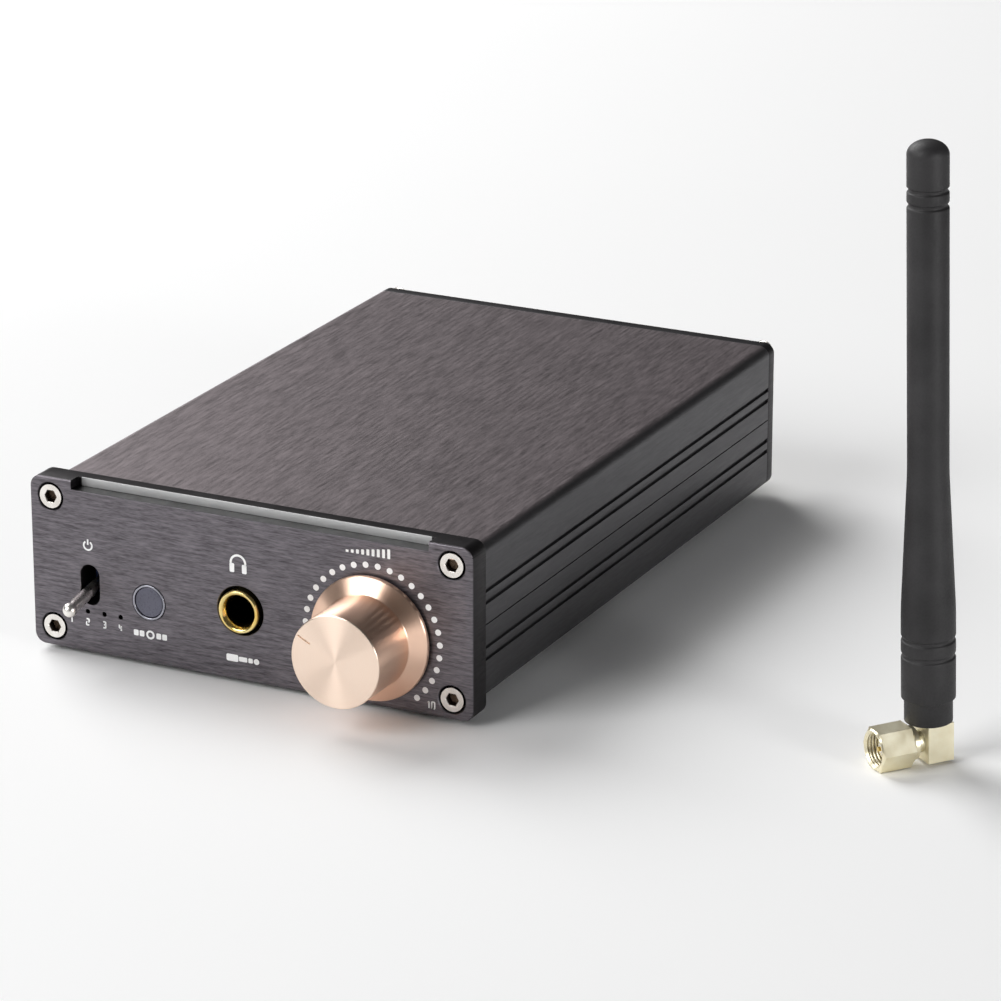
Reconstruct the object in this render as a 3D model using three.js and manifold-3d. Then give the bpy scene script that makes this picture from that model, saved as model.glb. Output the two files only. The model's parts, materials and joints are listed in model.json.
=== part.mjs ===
// A small bluetooth audio receiver: an aluminium case of two extruded shells between a thick
// front panel and a flush rear panel, its controls, sockets and boards, and a rubber whip
// antenna that stands beside it, unplugged.
//
// Millimetres. +X is to the right seen from the front, +Y is to the rear and +Z is up.
// The origin is the centre of the lower shell's underside.

import * as THREE from 'three';
import { mergeVertices } from 'three/addons/utils/BufferGeometryUtils.js';
import Module from 'manifold-3d';

const wasm = await Module();
wasm.setup();

// Driving dimensions --------------------------------------------------------------------------

// Case
const CASE_WIDTH = 97.2;
const CASE_HEIGHT = 32.6;
const SHELL_LENGTH = 142.4;
const SHELL_WALL = 2;
const CORNER_RADIUS = 2.2;
const SEAM_HEIGHT = 15.7;
const SEAM_GAP = 0.3;
const GROOVE_OFFSETS = [4.65, 7.15];
const GROOVE_WIDTH = 0.9;
const GROOVE_DEPTH = 0.7;

// Panels
const PANEL_WIDTH = 100;
const PANEL_HEIGHT = 36.3;
const PANEL_THICKNESS = 6;
const PANEL_BOTTOM = -1.8;
const PANEL_RADIUS = 2.4;
const REBATE_LENGTH = 80.9;
const REBATE_DEPTH = 3;
const REBATE_HEIGHT = 1.9;
const REAR_THICKNESS = 3;

// Fasteners
const SCREW_X = 45.35;
const SCREW_INSET = 4.14;
const SCREW_SHANK_RADIUS = 1.45;
const SCREW_HOLE_RADIUS = 1.55;
const BOSS_HALF = 2.3;

// Controls, as heights above the underside and distances from the middle
const KNOB_X = 27.9;
const KNOB_Z = 12.7;
const KNOB_RADIUS = 9.65;
const KNOB_RIM_RADIUS = 13;
const KNOB_REACH = 15.6;
const SHAFT_RADIUS = 3;
const JACK_X = -1.8;
const JACK_Z = 13;
const JACK_BORE_RADIUS = 3.2;
const JACK_RING_RADIUS = 4.55;
const JACK_HOLE_RADIUS = 5.2;
const BUTTON_X = -22.9;
const BUTTON_Z = 11.2;
const BUTTON_RADIUS = 3.15;
const BEZEL_RADIUS = 3.75;
const TOGGLE_X = -36.6;
const TOGGLE_Z = 12.7;
const TOGGLE_SLOT = [4.4, 8.6];
const TOGGLE_REACH = 16.6;
const TOGGLE_TILT = 10.2;
const TOGGLE_TIP_RADIUS = 1.45;
const LED_XS = [-41.1, -37.3, -33.4, -29.6];
const LED_Z = 6.85;

// Feet
const FOOT_RADIUS = 6;
const FOOT_HEIGHT = 3;
const FOOT_SEAT = 0.4;
const FOOT_X = 36;
const FOOT_Y = 58;

// Rear sockets: the middle of each across the panel
const DC_X = -38.5;
const USB_X = -25;
const OPTICAL_X = -9.5;
const COAXIAL_X = 4.5;
const LINE_LEFT_X = 18.5;
const LINE_RIGHT_X = 30.5;
const ANTENNA_JACK_X = 41.5;
const ANTENNA_JACK_Z = 21;
const SOCKET_Z = 12;

// Depths behind the front panel and in front of the rear panel
const POT_DEPTH = 7.2;
const JACK_DEPTH = 25.2;
const JACK_BUSH_DEPTH = 5.2;
const TACT_DEPTH = 7.4;
const TOGGLE_BODY_DEPTH = 10.2;
const SOCKET_DEPTH = 11.2;

// Board
const BOARD_BOTTOM = 4.7;
const BOARD_THICKNESS = 1.6;

// Antenna, in its own group: up is +Z from the floor, and its connector points along -Y.
// It is turned about the upright, then leans a little towards the case about a level line.
const ANTENNA_X = 135.5;
const ANTENNA_Y = -52.15;
const ANTENNA_LIFT = 0.34;
const ANTENNA_TURN = -40;
const ANTENNA_LEAN = 1.79;
const ANTENNA_LEAN_LINE = 26.28;
const ANTENNA_HEIGHT = 123.2;
const WHIP_RADIUS = 4;
const WHIP_BASE_RADIUS = 5.27;
const FERRULE_RADIUS = 4.7;
const ELBOW_HALF_WIDTH = 3.4;
const ELBOW_FRONT = -1.8;
const ELBOW_BACK = 3.75;
const ELBOW_BOTTOM = 0.3;
const ELBOW_TOP = 8;
const CONNECTOR_Z = 4.05;
const HEX_ACROSS_FLATS = 8;

// What follows from them
const CLEAR = 0.05;
const HALF_WIDTH = CASE_WIDTH / 2;
const SHELL_FRONT = -SHELL_LENGTH / 2;
const SHELL_REAR = SHELL_LENGTH / 2;
const PANEL_FRONT = SHELL_FRONT - PANEL_THICKNESS;
const PANEL_TOP = PANEL_BOTTOM + PANEL_HEIGHT;
const REAR_FACE = SHELL_REAR + REAR_THICKNESS;
const SCREW_HEIGHTS = [PANEL_BOTTOM + SCREW_INSET, PANEL_TOP - SCREW_INSET];
const BOARD_TOP = BOARD_BOTTOM + BOARD_THICKNESS;
const ON_BOARD = BOARD_TOP + CLEAR;
const BEHIND_PANEL = SHELL_FRONT + 0.2;
const HEX_RADIUS = HEX_ACROSS_FLATS / Math.sqrt(3);

// Solids --------------------------------------------------------------------------------------

// A closed geometry as a solid: shared corners merged, empty triangles dropped, faces outwards.
function solid(geometry) {
  const bare = geometry.clone();
  bare.deleteAttribute('normal');
  bare.deleteAttribute('uv');
  const merged = mergeVertices(bare, 1e-4);
  const points = merged.attributes.position.array;
  const index = merged.index.array;
  const triangles = [];
  let volume = 0;
  for (let i = 0; i < index.length; i += 3) {
    const [a, b, c] = index.slice(i, i + 3);
    if (a === b || b === c || c === a) continue;
    triangles.push([a, b, c]);
    const [p, q, r] = [a, b, c].map((k) => new THREE.Vector3().fromArray(points, 3 * k));
    volume += p.dot(q.cross(r));
  }
  if (volume < 0) triangles.forEach((triangle) => triangle.reverse());
  return new wasm.Manifold(new wasm.Mesh({
    numProp: 3,
    vertProperties: new Float32Array(points),
    triVerts: new Uint32Array(triangles.flat()),
  }));
}

// A solid back as a geometry.
function geometryOf(manifold) {
  const mesh = manifold.getMesh();
  const geometry = new THREE.BufferGeometry();
  geometry.setAttribute('position', new THREE.BufferAttribute(mesh.vertProperties, 3));
  geometry.setIndex(new THREE.BufferAttribute(mesh.triVerts, 1));
  geometry.computeVertexNormals();
  return geometry;
}

// A box between two corners.
function box([x0, x1], [y0, y1], [z0, z1]) {
  const geometry = new THREE.BoxGeometry(x1 - x0, y1 - y0, z1 - z0);
  return solid(geometry.translate((x0 + x1) / 2, (y0 + y1) / 2, (z0 + z1) / 2));
}

// A box that stands at x, z with a width and height, from y0 to y1.
function boxAt(x, z, [width, height], [y0, y1]) {
  return box([x - width / 2, x + width / 2], [y0, y1], [z - height / 2, z + height / 2]);
}

// A round bar along Y.
function rodY(radius, [y0, y1], x, z, sides = 24) {
  const geometry = new THREE.CylinderGeometry(radius, radius, y1 - y0, sides);
  return solid(geometry.translate(x, (y0 + y1) / 2, z));
}

// A round bar along Z.
function rodZ(radius, [z0, z1], x, y, sides = 24) {
  const geometry = new THREE.CylinderGeometry(radius, radius, z1 - z0, sides).rotateX(Math.PI / 2);
  return solid(geometry.translate(x, y, (z0 + z1) / 2));
}

// A shape spun about an axis along Y: the profile is [radius, y] pairs.
function turnedY(profile, x, z, sides = 32) {
  const points = profile.map(([radius, y]) => new THREE.Vector2(radius, y));
  return solid(new THREE.LatheGeometry(points, sides).translate(x, 0, z));
}

// A shape spun about an upright axis: the profile is [radius, z] pairs.
function turnedZ(profile, x, y, sides = 32) {
  const points = profile.map(([radius, z]) => new THREE.Vector2(radius, z));
  return solid(new THREE.LatheGeometry(points, sides).rotateX(Math.PI / 2).translate(x, y, 0));
}

// An outline in X and Z pushed along Y.
function plateY(outline, [y0, y1], curveSegments = 6) {
  const options = { depth: y1 - y0, bevelEnabled: false, curveSegments };
  return solid(new THREE.ExtrudeGeometry(outline, options).rotateX(Math.PI / 2).translate(0, y1, 0));
}

// A rectangle with round corners, about the point x, z.
function roundedRectangle(width, height, radius, x = 0, z = 0) {
  const [w, h] = [width / 2 - radius, height / 2 - radius];
  const outline = new THREE.Shape();
  outline.absarc(x + w, z + h, radius, 0, Math.PI / 2);
  outline.absarc(x - w, z + h, radius, Math.PI / 2, Math.PI);
  outline.absarc(x - w, z - h, radius, Math.PI, 1.5 * Math.PI);
  outline.absarc(x + w, z - h, radius, 1.5 * Math.PI, 2 * Math.PI);
  return outline;
}

// A hexagonal bar along Y with flats at its top and bottom, its ends turned down to its flats.
function hexBarY([y0, y1], x, z) {
  const chamfer = 0.5;
  const turned = turnedY([
    [0, y0], [HEX_RADIUS - chamfer, y0], [HEX_RADIUS, y0 + chamfer],
    [HEX_RADIUS, y1 - chamfer], [HEX_RADIUS - chamfer, y1], [0, y1],
  ], x, z, 36);
  const bar = new THREE.CylinderGeometry(HEX_RADIUS, HEX_RADIUS, y1 - y0, 6).rotateY(Math.PI / 6);
  return solid(bar.translate(x, (y0 + y1) / 2, z)).intersect(turned);
}

function join(...solids) {
  return solids.reduce((whole, next) => whole.add(next));
}

function cut(whole, ...tools) {
  return tools.reduce((rest, tool) => rest.subtract(tool), whole);
}

// The four corners where a screw goes through a panel.
function screwCorners() {
  return SCREW_HEIGHTS.flatMap((z) => [-SCREW_X, SCREW_X].map((x) => [x, z]));
}

// Materials -----------------------------------------------------------------------------------

function finish(color, roughness, metalness) {
  return new THREE.MeshStandardMaterial({ color, roughness, metalness, flatShading: true });
}

const FINISHES = {
  anodised: finish(0x45434a, 0.42, 0.85),
  copper: finish(0xe0a888, 0.28, 1),
  gold: finish(0xd9b45a, 0.25, 1),
  paleGold: finish(0xd8cba0, 0.25, 1),
  steel: finish(0xc8c4bc, 0.25, 1),
  buttonCap: finish(0x50505f, 0.35, 0.1),
  blackPlastic: finish(0x1b1b1d, 0.5, 0),
  rubber: finish(0x3b393b, 0.7, 0),
  lens: finish(0x22262a, 0.2, 0),
  board: finish(0x14503a, 0.5, 0),
  chip: finish(0x202022, 0.6, 0),
  can: finish(0xb8b8b4, 0.35, 0.9),
  sleeve: finish(0x26324a, 0.45, 0),
  white: finish(0xe8e6e0, 0.5, 0),
  red: finish(0xa82626, 0.45, 0),
  orange: finish(0xc8641e, 0.45, 0),
};

const receiver = new THREE.Group();

// Adds a solid as a named mesh; the mesh can then be placed.
function add(name, manifold, material, parent = receiver) {
  const mesh = new THREE.Mesh(geometryOf(manifold), material);
  mesh.name = name;
  parent.add(mesh);
  return mesh;
}

// Case ----------------------------------------------------------------------------------------

// One extruded shell, as seen from the front: side is 1 for the upper shell and -1 for the
// lower. Its outline is drawn as distances across from the middle and away from the seam.
function shell(side, screwZ) {
  const outerFace = side > 0 ? CASE_HEIGHT - SEAM_HEIGHT : SEAM_HEIGHT;
  const bossV = Math.abs(screwZ - SEAM_HEIGHT);
  const inner = HALF_WIDTH - SHELL_WALL;
  const right = [[HALF_WIDTH, SEAM_GAP / 2]];
  for (const offset of GROOVE_OFFSETS) {
    const [near, far] = [offset - GROOVE_WIDTH / 2, offset + GROOVE_WIDTH / 2];
    right.push([HALF_WIDTH, near], [HALF_WIDTH - GROOVE_DEPTH, near]);
    right.push([HALF_WIDTH - GROOVE_DEPTH, far], [HALF_WIDTH, far]);
  }
  const steps = 6;
  for (let i = 0; i <= steps; i += 1) {
    const angle = (i / steps) * (Math.PI / 2);
    const across = HALF_WIDTH - CORNER_RADIUS * (1 - Math.cos(angle));
    right.push([across, outerFace - CORNER_RADIUS * (1 - Math.sin(angle))]);
  }
  const inside = [
    [SCREW_X - BOSS_HALF, outerFace - SHELL_WALL],
    [SCREW_X - BOSS_HALF, bossV - BOSS_HALF],
    [inner, bossV - BOSS_HALF],
  ];
  if (side < 0) inside.push(...boardRail(inner));
  inside.push([inner, SEAM_GAP / 2]);

  const mirror = ([x, v]) => [-x, v];
  const outline = [
    ...right,
    ...right.map(mirror).reverse(),
    ...inside.map(mirror).reverse(),
    ...inside,
  ];
  const shape = new THREE.Shape(outline.map(([x, v]) => new THREE.Vector2(x, SEAM_HEIGHT + side * v)));
  for (const x of [-SCREW_X, SCREW_X]) {
    const hole = new THREE.Path();
    hole.absarc(x, screwZ, SCREW_HOLE_RADIUS, 0, 2 * Math.PI);
    shape.holes.push(hole);
  }
  return plateY(shape, [SHELL_FRONT, SHELL_REAR], 7);
}

// The rail over the board's edge, in the lower shell's outline.
function boardRail(inner) {
  const reach = 1.6;
  const [low, high] = [BOARD_TOP + 0.1, BOARD_TOP + 1.3];
  return [
    [inner, SEAM_HEIGHT - low], [inner - reach, SEAM_HEIGHT - low],
    [inner - reach, SEAM_HEIGHT - high], [inner, SEAM_HEIGHT - high],
  ];
}

// The four places of the feet, each in a shallow round seat in the lower shell.
const FOOT_PLACES = [[-1, -1], [1, -1], [-1, 1], [1, 1]].map(([sx, sy]) => [sx * FOOT_X, sy * FOOT_Y]);
const footSeats = FOOT_PLACES.map(([x, y]) => rodZ(FOOT_RADIUS + 0.15, [-1, FOOT_SEAT], x, y));

add('upper_shell', shell(1, SCREW_HEIGHTS[1]), FINISHES.anodised);
add('lower_shell', cut(shell(-1, SCREW_HEIGHTS[0]), ...footSeats), FINISHES.anodised);

// Front panel: a thick plate with a stopped rebate along its top front edge.
function frontPanel() {
  const middle = PANEL_BOTTOM + PANEL_HEIGHT / 2;
  const plate = plateY(
    roundedRectangle(PANEL_WIDTH, PANEL_HEIGHT, PANEL_RADIUS, 0, middle),
    [PANEL_FRONT, SHELL_FRONT],
  );
  const through = [PANEL_FRONT - 1, SHELL_FRONT + 1];
  const rebate = box(
    [-REBATE_LENGTH / 2, REBATE_LENGTH / 2],
    [PANEL_FRONT - 1, PANEL_FRONT + REBATE_DEPTH],
    [PANEL_TOP - REBATE_HEIGHT, PANEL_TOP + 1],
  );
  const [slotWidth, slotHeight] = TOGGLE_SLOT;
  const tools = [
    rebate,
    plateY(roundedRectangle(slotWidth, slotHeight, slotWidth / 2 - 0.01, TOGGLE_X, TOGGLE_Z), through),
    rodY(BEZEL_RADIUS + CLEAR, through, BUTTON_X, BUTTON_Z, 32),
    rodY(JACK_HOLE_RADIUS, through, JACK_X, JACK_Z, 40),
    rodY(SHAFT_RADIUS + 0.7, through, KNOB_X, KNOB_Z),
    rodY(6.3, [PANEL_FRONT - 1, PANEL_FRONT + 2], KNOB_X, KNOB_Z),
    ...LED_XS.map((x) => rodY(0.5, through, x, LED_Z, 12)),
    ...screwCorners().map(([x, z]) => rodY(SCREW_HOLE_RADIUS, through, x, z, 16)),
    ...screwCorners().map(([x, z]) => rodY(2.95, [PANEL_FRONT - 1, PANEL_FRONT + 2.9], x, z)),
  ];
  return cut(plate, ...tools);
}

add('front_panel', frontPanel(), FINISHES.anodised);

// Rear panel, flush with the shells.
function rearPanel() {
  const plate = plateY(
    roundedRectangle(CASE_WIDTH, CASE_HEIGHT, CORNER_RADIUS, 0, CASE_HEIGHT / 2),
    [SHELL_REAR, REAR_FACE],
  );
  const through = [SHELL_REAR - 1, REAR_FACE + 1];
  return cut(
    plate,
    rodY(4.3, through, DC_X, SOCKET_Z),
    boxAt(USB_X, SOCKET_Z, [12.3, 11.5], through),
    boxAt(OPTICAL_X, SOCKET_Z + 0.7, [10, 10], through),
    ...[COAXIAL_X, LINE_LEFT_X, LINE_RIGHT_X].map((x) => rodY(4.8, through, x, SOCKET_Z)),
    rodY(3.3, through, ANTENNA_JACK_X, ANTENNA_JACK_Z),
    ...screwCorners().map(([x, z]) => rodY(SCREW_HOLE_RADIUS, through, x, z, 16)),
  );
}

add('rear_panel', rearPanel(), FINISHES.anodised);

// A hex-socket screw, its head's outer face at y = 0 and its shank towards +Y.
function screw(headRadius, headLength, shankLength) {
  const edge = 0.35;
  const body = turnedY([
    [0, 0], [headRadius - edge, 0], [headRadius, edge], [headRadius, headLength],
    [SCREW_SHANK_RADIUS, headLength], [SCREW_SHANK_RADIUS, headLength + shankLength],
    [0, headLength + shankLength],
  ], 0, 0, 20);
  return cut(body, rodY(1.45, [-1, headLength * 0.6], 0, 0, 6));
}

// The rear panel is lower than the front one, so its screws have small heads that sit on it.
const REAR_HEAD_RADIUS = 2.1;
const REAR_HEAD_LENGTH = 1.5;
screwCorners().forEach(([x, z], i) => {
  const front = add(`front_screw_${i + 1}`, screw(2.5, 2.6, 11), FINISHES.steel);
  front.position.set(x, PANEL_FRONT + 0.15, z);
  const rear = add(`rear_screw_${i + 1}`, screw(REAR_HEAD_RADIUS, REAR_HEAD_LENGTH, 10), FINISHES.steel);
  rear.position.set(x, REAR_FACE + CLEAR + REAR_HEAD_LENGTH, z);
  rear.rotation.z = Math.PI;
});

// Feet in their seats under the lower shell, a little narrower at the floor.
FOOT_PLACES.forEach(([x, y], i) => {
  const foot = turnedZ([
    [0, -FOOT_HEIGHT], [FOOT_RADIUS - 1, -FOOT_HEIGHT], [FOOT_RADIUS, 0],
    [FOOT_RADIUS, FOOT_SEAT - CLEAR], [0, FOOT_SEAT - CLEAR],
  ], x, y, 24);
  add(`rubber_foot_${i + 1}`, foot, FINISHES.rubber);
});

// Volume control ------------------------------------------------------------------------------

// Knob: a cylinder with a coned flange, bored for the shaft and hollowed over the nut.
function knob() {
  const back = PANEL_FRONT - 0.6;
  const rim = back - 1;
  const coneEnd = PANEL_FRONT - 3.2;
  const face = PANEL_FRONT - KNOB_REACH;
  const hollow = back - 1.2;
  const boreEnd = face + 2.5;
  const bore = SHAFT_RADIUS + CLEAR;
  return turnedY([
    [0, face], [KNOB_RADIUS - 0.4, face], [KNOB_RADIUS, face + 0.4], [KNOB_RADIUS, coneEnd],
    [KNOB_RIM_RADIUS, rim], [KNOB_RIM_RADIUS, back], [7, back], [7, hollow],
    [bore, hollow], [bore, boreEnd], [0, boreEnd],
  ], KNOB_X, KNOB_Z, 48);
}

// The set screw goes in from below and to the left, where the hand doesn't see it.
const SET_SCREW_Y = PANEL_FRONT - 8;
const SET_SCREW_ANGLE = THREE.MathUtils.degToRad(25);

function setScrewTool(radius, inner, outer) {
  const bar = new THREE.CylinderGeometry(radius, radius, outer - inner, 14).rotateX(Math.PI / 2);
  bar.translate(0, 0, -(inner + outer) / 2);
  bar.rotateY(SET_SCREW_ANGLE);
  return solid(bar.translate(KNOB_X, SET_SCREW_Y, KNOB_Z));
}

add('volume_knob', cut(knob(), setScrewTool(1.5, 1, KNOB_RADIUS + 1)), FINISHES.copper);
add('knob_set_screw', setScrewTool(1.35, SHAFT_RADIUS + 0.1, KNOB_RADIUS - 1.2), FINISHES.steel);
const POT_BACK = SHELL_FRONT + POT_DEPTH;
const POT_BORE_END = POT_BACK - 3;
const shaftEnds = [PANEL_FRONT - KNOB_REACH + 3, POT_BORE_END - 0.4];
add('pot_shaft', rodY(SHAFT_RADIUS, shaftEnds, KNOB_X, KNOB_Z), FINISHES.steel);

// Potentiometer: a block behind the panel with a threaded collar through it.
const COLLAR_RADIUS = 3.5;
const COLLAR_END = PANEL_FRONT + 0.1;
const potBody = cut(
  join(
    box([KNOB_X - 4.9, KNOB_X + 4.9], [BEHIND_PANEL, POT_BACK], [ON_BOARD, KNOB_Z + 5.6]),
    rodY(COLLAR_RADIUS, [COLLAR_END, POT_BORE_END - 1], KNOB_X, KNOB_Z, 24),
  ),
  rodY(SHAFT_RADIUS + 0.08, [COLLAR_END - 1, POT_BORE_END], KNOB_X, KNOB_Z),
);
add('pot_body', potBody, FINISHES.can);

const potNut = cut(
  rodY(5.7, [PANEL_FRONT + 0.2, PANEL_FRONT + 1.9], KNOB_X, KNOB_Z, 6),
  rodY(COLLAR_RADIUS + 0.1, [PANEL_FRONT - 1, PANEL_FRONT + 3], KNOB_X, KNOB_Z),
);
add('pot_nut', potNut, FINISHES.steel);

// Headphone jack ------------------------------------------------------------------------------

const JACK_BACK = SHELL_FRONT + JACK_DEPTH;
const JACK_BUSH_END = SHELL_FRONT + JACK_BUSH_DEPTH;
const jackBushing = turnedY([
  [JACK_BORE_RADIUS + 0.25, PANEL_FRONT - 1], [JACK_RING_RADIUS - 0.4, PANEL_FRONT - 1],
  [JACK_RING_RADIUS, PANEL_FRONT - 0.6], [JACK_RING_RADIUS, JACK_BUSH_END],
  [JACK_BORE_RADIUS, JACK_BUSH_END], [JACK_BORE_RADIUS, PANEL_FRONT - 0.5],
  [JACK_BORE_RADIUS + 0.25, PANEL_FRONT - 1],
], JACK_X, JACK_Z, 32);
add('headphone_jack_bushing', jackBushing, FINISHES.gold);

const jackBody = cut(
  box([JACK_X - 8, JACK_X + 8], [BEHIND_PANEL, JACK_BACK], [ON_BOARD, JACK_Z + 7.2]),
  rodY(JACK_RING_RADIUS + 0.1, [BEHIND_PANEL - 1, JACK_BUSH_END + 0.1], JACK_X, JACK_Z, 32),
  rodY(JACK_BORE_RADIUS, [JACK_BUSH_END, JACK_BACK + 1], JACK_X, JACK_Z, 32),
);
add('headphone_jack_body', jackBody, FINISHES.blackPlastic);

// Mode button ---------------------------------------------------------------------------------

const BEZEL_END = PANEL_FRONT + 4;
const bezel = turnedY([
  [BUTTON_RADIUS + 0.12, PANEL_FRONT - 0.1], [BEZEL_RADIUS, PANEL_FRONT - 0.1],
  [BEZEL_RADIUS, BEZEL_END], [BUTTON_RADIUS + 0.12, BEZEL_END],
  [BUTTON_RADIUS + 0.12, PANEL_FRONT - 0.1],
], BUTTON_X, BUTTON_Z, 32);
add('button_bezel', bezel, FINISHES.steel);

// The cap has a flange behind the bezel that holds it in, and a stem to the switch.
const FLANGE_START = BEZEL_END + 0.1;
const PLUNGER_TIP = SHELL_FRONT + 3.2;
const PLUNGER_LENGTH = 2.4;
const STEM_RADIUS = 1.5;
const modeButton = turnedY([
  [0, PANEL_FRONT + 0.1], [BUTTON_RADIUS, PANEL_FRONT + 0.1], [BUTTON_RADIUS, FLANGE_START],
  [BUTTON_RADIUS + 0.45, FLANGE_START], [BUTTON_RADIUS + 0.45, FLANGE_START + 1],
  [STEM_RADIUS, FLANGE_START + 1], [STEM_RADIUS, PLUNGER_TIP - CLEAR], [0, PLUNGER_TIP - CLEAR],
], BUTTON_X, BUTTON_Z, 32);
add('mode_button', modeButton, FINISHES.buttonCap);
const plungerEnds = [PLUNGER_TIP, PLUNGER_TIP + PLUNGER_LENGTH];
add('tact_plunger', rodY(1.6, plungerEnds, BUTTON_X, BUTTON_Z, 20), FINISHES.blackPlastic);

// Switch: its pocket leaves the plunger its travel and a little more.
const tactBack = SHELL_FRONT + TACT_DEPTH;
const tactPocket = [PLUNGER_TIP, PLUNGER_TIP + PLUNGER_LENGTH + 0.7];
const tactSwitch = cut(
  box([BUTTON_X - 3, BUTTON_X + 3], [PLUNGER_TIP + 0.4, tactBack], [ON_BOARD, BUTTON_Z + 3]),
  rodY(1.72, tactPocket, BUTTON_X, BUTTON_Z, 20),
);
add('tact_switch', tactSwitch, FINISHES.can);

// Power toggle --------------------------------------------------------------------------------

const TOGGLE_PIVOT_Y = SHELL_FRONT + 1;
const toggleBack = SHELL_FRONT + TOGGLE_BODY_DEPTH;
const toggleBody = cut(
  box([TOGGLE_X - 3.3, TOGGLE_X + 3.3], [BEHIND_PANEL, toggleBack], [LED_Z + 1, TOGGLE_Z + 5.8]),
  boxAt(TOGGLE_X, TOGGLE_Z, [3.8, 6.4], [BEHIND_PANEL - 1, TOGGLE_PIVOT_Y + 2]),
);
add('toggle_body', toggleBody, FINISHES.sleeve);

// Lever: a pivot ball, a waist and a shaft that swells to a round tip, pointing along -Y.
const leverProfile = [[0, 1.5], [1.06, 1.06], [1.5, 0], [1.06, -1.06], [0.95, -2], [1.05, -4], [1.2, -12]];
for (let i = 1; i <= 6; i += 1) {
  const angle = THREE.MathUtils.degToRad(-50 + (140 * i) / 6);
  const radius = i === 6 ? 0 : TOGGLE_TIP_RADIUS * Math.cos(angle);
  leverProfile.push([radius, -(TOGGLE_REACH - TOGGLE_TIP_RADIUS) - TOGGLE_TIP_RADIUS * Math.sin(angle)]);
}
const lever = add('toggle_lever', turnedY(leverProfile, 0, 0, 16), FINISHES.steel);
lever.position.set(TOGGLE_X, TOGGLE_PIVOT_Y, TOGGLE_Z);
lever.rotation.x = THREE.MathUtils.degToRad(TOGGLE_TILT);

// Board and what stands on it -----------------------------------------------------------------

const boardHalf = HALF_WIDTH - SHELL_WALL - 0.2;
const boardEnd = SHELL_REAR - 0.6;
const board = box([-boardHalf, boardHalf], [-boardEnd, boardEnd], [BOARD_BOTTOM, BOARD_TOP]);
add('main_board', board, FINISHES.board);

// Indicators: a small lamp on the board's edge, with a light guide into the panel.
LED_XS.forEach((x, i) => {
  const lamp = join(
    box([x - 1.2, x + 1.2], [BEHIND_PANEL, BEHIND_PANEL + 1.6], [ON_BOARD, LED_Z + 0.6]),
    rodY(0.4, [PANEL_FRONT + 1.2, BEHIND_PANEL + 0.5], x, LED_Z, 10),
  );
  add(`indicator_led_${i + 1}`, lamp, FINISHES.lens);
});

// Parts that are plain blocks: name, x, y, [width, depth, height], finish, height of the base.
const MODULE_TOP = ON_BOARD + 1;
const BLOCKS = [
  ['bluetooth_module', 30, 36, [16, 24, 1], FINISHES.board, ON_BOARD],
  ['bluetooth_shield_can', 30, 32, [13, 14, 2], FINISHES.can, MODULE_TOP + CLEAR],
  ['dac_chip', 0, 10, [10, 10, 1.4], FINISHES.chip, ON_BOARD],
  ['opamp_1', -18, -22, [5, 4, 1.8], FINISHES.chip, ON_BOARD],
  ['opamp_2', -18, -8, [5, 4, 1.8], FINISHES.chip, ON_BOARD],
  ['crystal', 12, 22, [11, 4.6, 3.6], FINISHES.can, ON_BOARD],
  ['regulator', -34, -2, [10.2, 4.6, 15], FINISHES.chip, ON_BOARD],
];
for (const [name, x, y, [width, depth, height], material, base] of BLOCKS) {
  const block = box([x - width / 2, x + width / 2], [y - depth / 2, y + depth / 2], [base, base + height]);
  add(name, block, material);
}

[[-37, 44], [-26, 44], [-37, 30], [-26, 30]].forEach(([x, y], i) => {
  const can = turnedZ([
    [0, ON_BOARD], [4, ON_BOARD], [4, ON_BOARD + 0.9], [3.7, ON_BOARD + 1.3],
    [4, ON_BOARD + 1.7], [4, ON_BOARD + 12], [0, ON_BOARD + 12],
  ], x, y, 20);
  add(`capacitor_${i + 1}`, can, FINISHES.sleeve);
});

// Rear sockets --------------------------------------------------------------------------------

const SOCKET_BACK = SHELL_REAR - SOCKET_DEPTH;
const SOCKET_SEAT = SHELL_REAR - 0.1;

// A phono socket: a block on the board, a coloured collar in the panel and a barrel behind it.
function phonoSocket(x) {
  const body = join(
    box([x - 5.3, x + 5.3], [SOCKET_BACK, SOCKET_SEAT], [ON_BOARD, SOCKET_Z + 5.3]),
    rodY(4.7, [SOCKET_SEAT - 1, REAR_FACE + 1.4], x, SOCKET_Z, 32),
    rodY(4.15, [REAR_FACE, REAR_FACE + 9], x, SOCKET_Z, 32),
  );
  return cut(body, rodY(1.6, [REAR_FACE + 1, REAR_FACE + 10], x, SOCKET_Z, 16));
}

add('coaxial_input', phonoSocket(COAXIAL_X), FINISHES.orange);
add('line_out_left', phonoSocket(LINE_LEFT_X), FINISHES.white);
add('line_out_right', phonoSocket(LINE_RIGHT_X), FINISHES.red);

// Optical socket: a square mouth with a sprung flap that swings in under its top edge.
const OPTICAL_Z = SOCKET_Z + 0.7;
const OPTICAL_FACE = REAR_FACE + 0.8;
const opticalBody = cut(
  boxAt(OPTICAL_X, OPTICAL_Z, [9.6, 9.6], [SOCKET_BACK, OPTICAL_FACE]),
  boxAt(OPTICAL_X, OPTICAL_Z, [7.4, 7.4], [SOCKET_BACK + 5, OPTICAL_FACE + 1]),
);
add('optical_socket', opticalBody, FINISHES.blackPlastic);
const flap = boxAt(OPTICAL_X, OPTICAL_Z, [7, 6.8], [REAR_FACE - 0.55, REAR_FACE + 0.15]);
add('optical_shutter', flap, FINISHES.blackPlastic);

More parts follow.
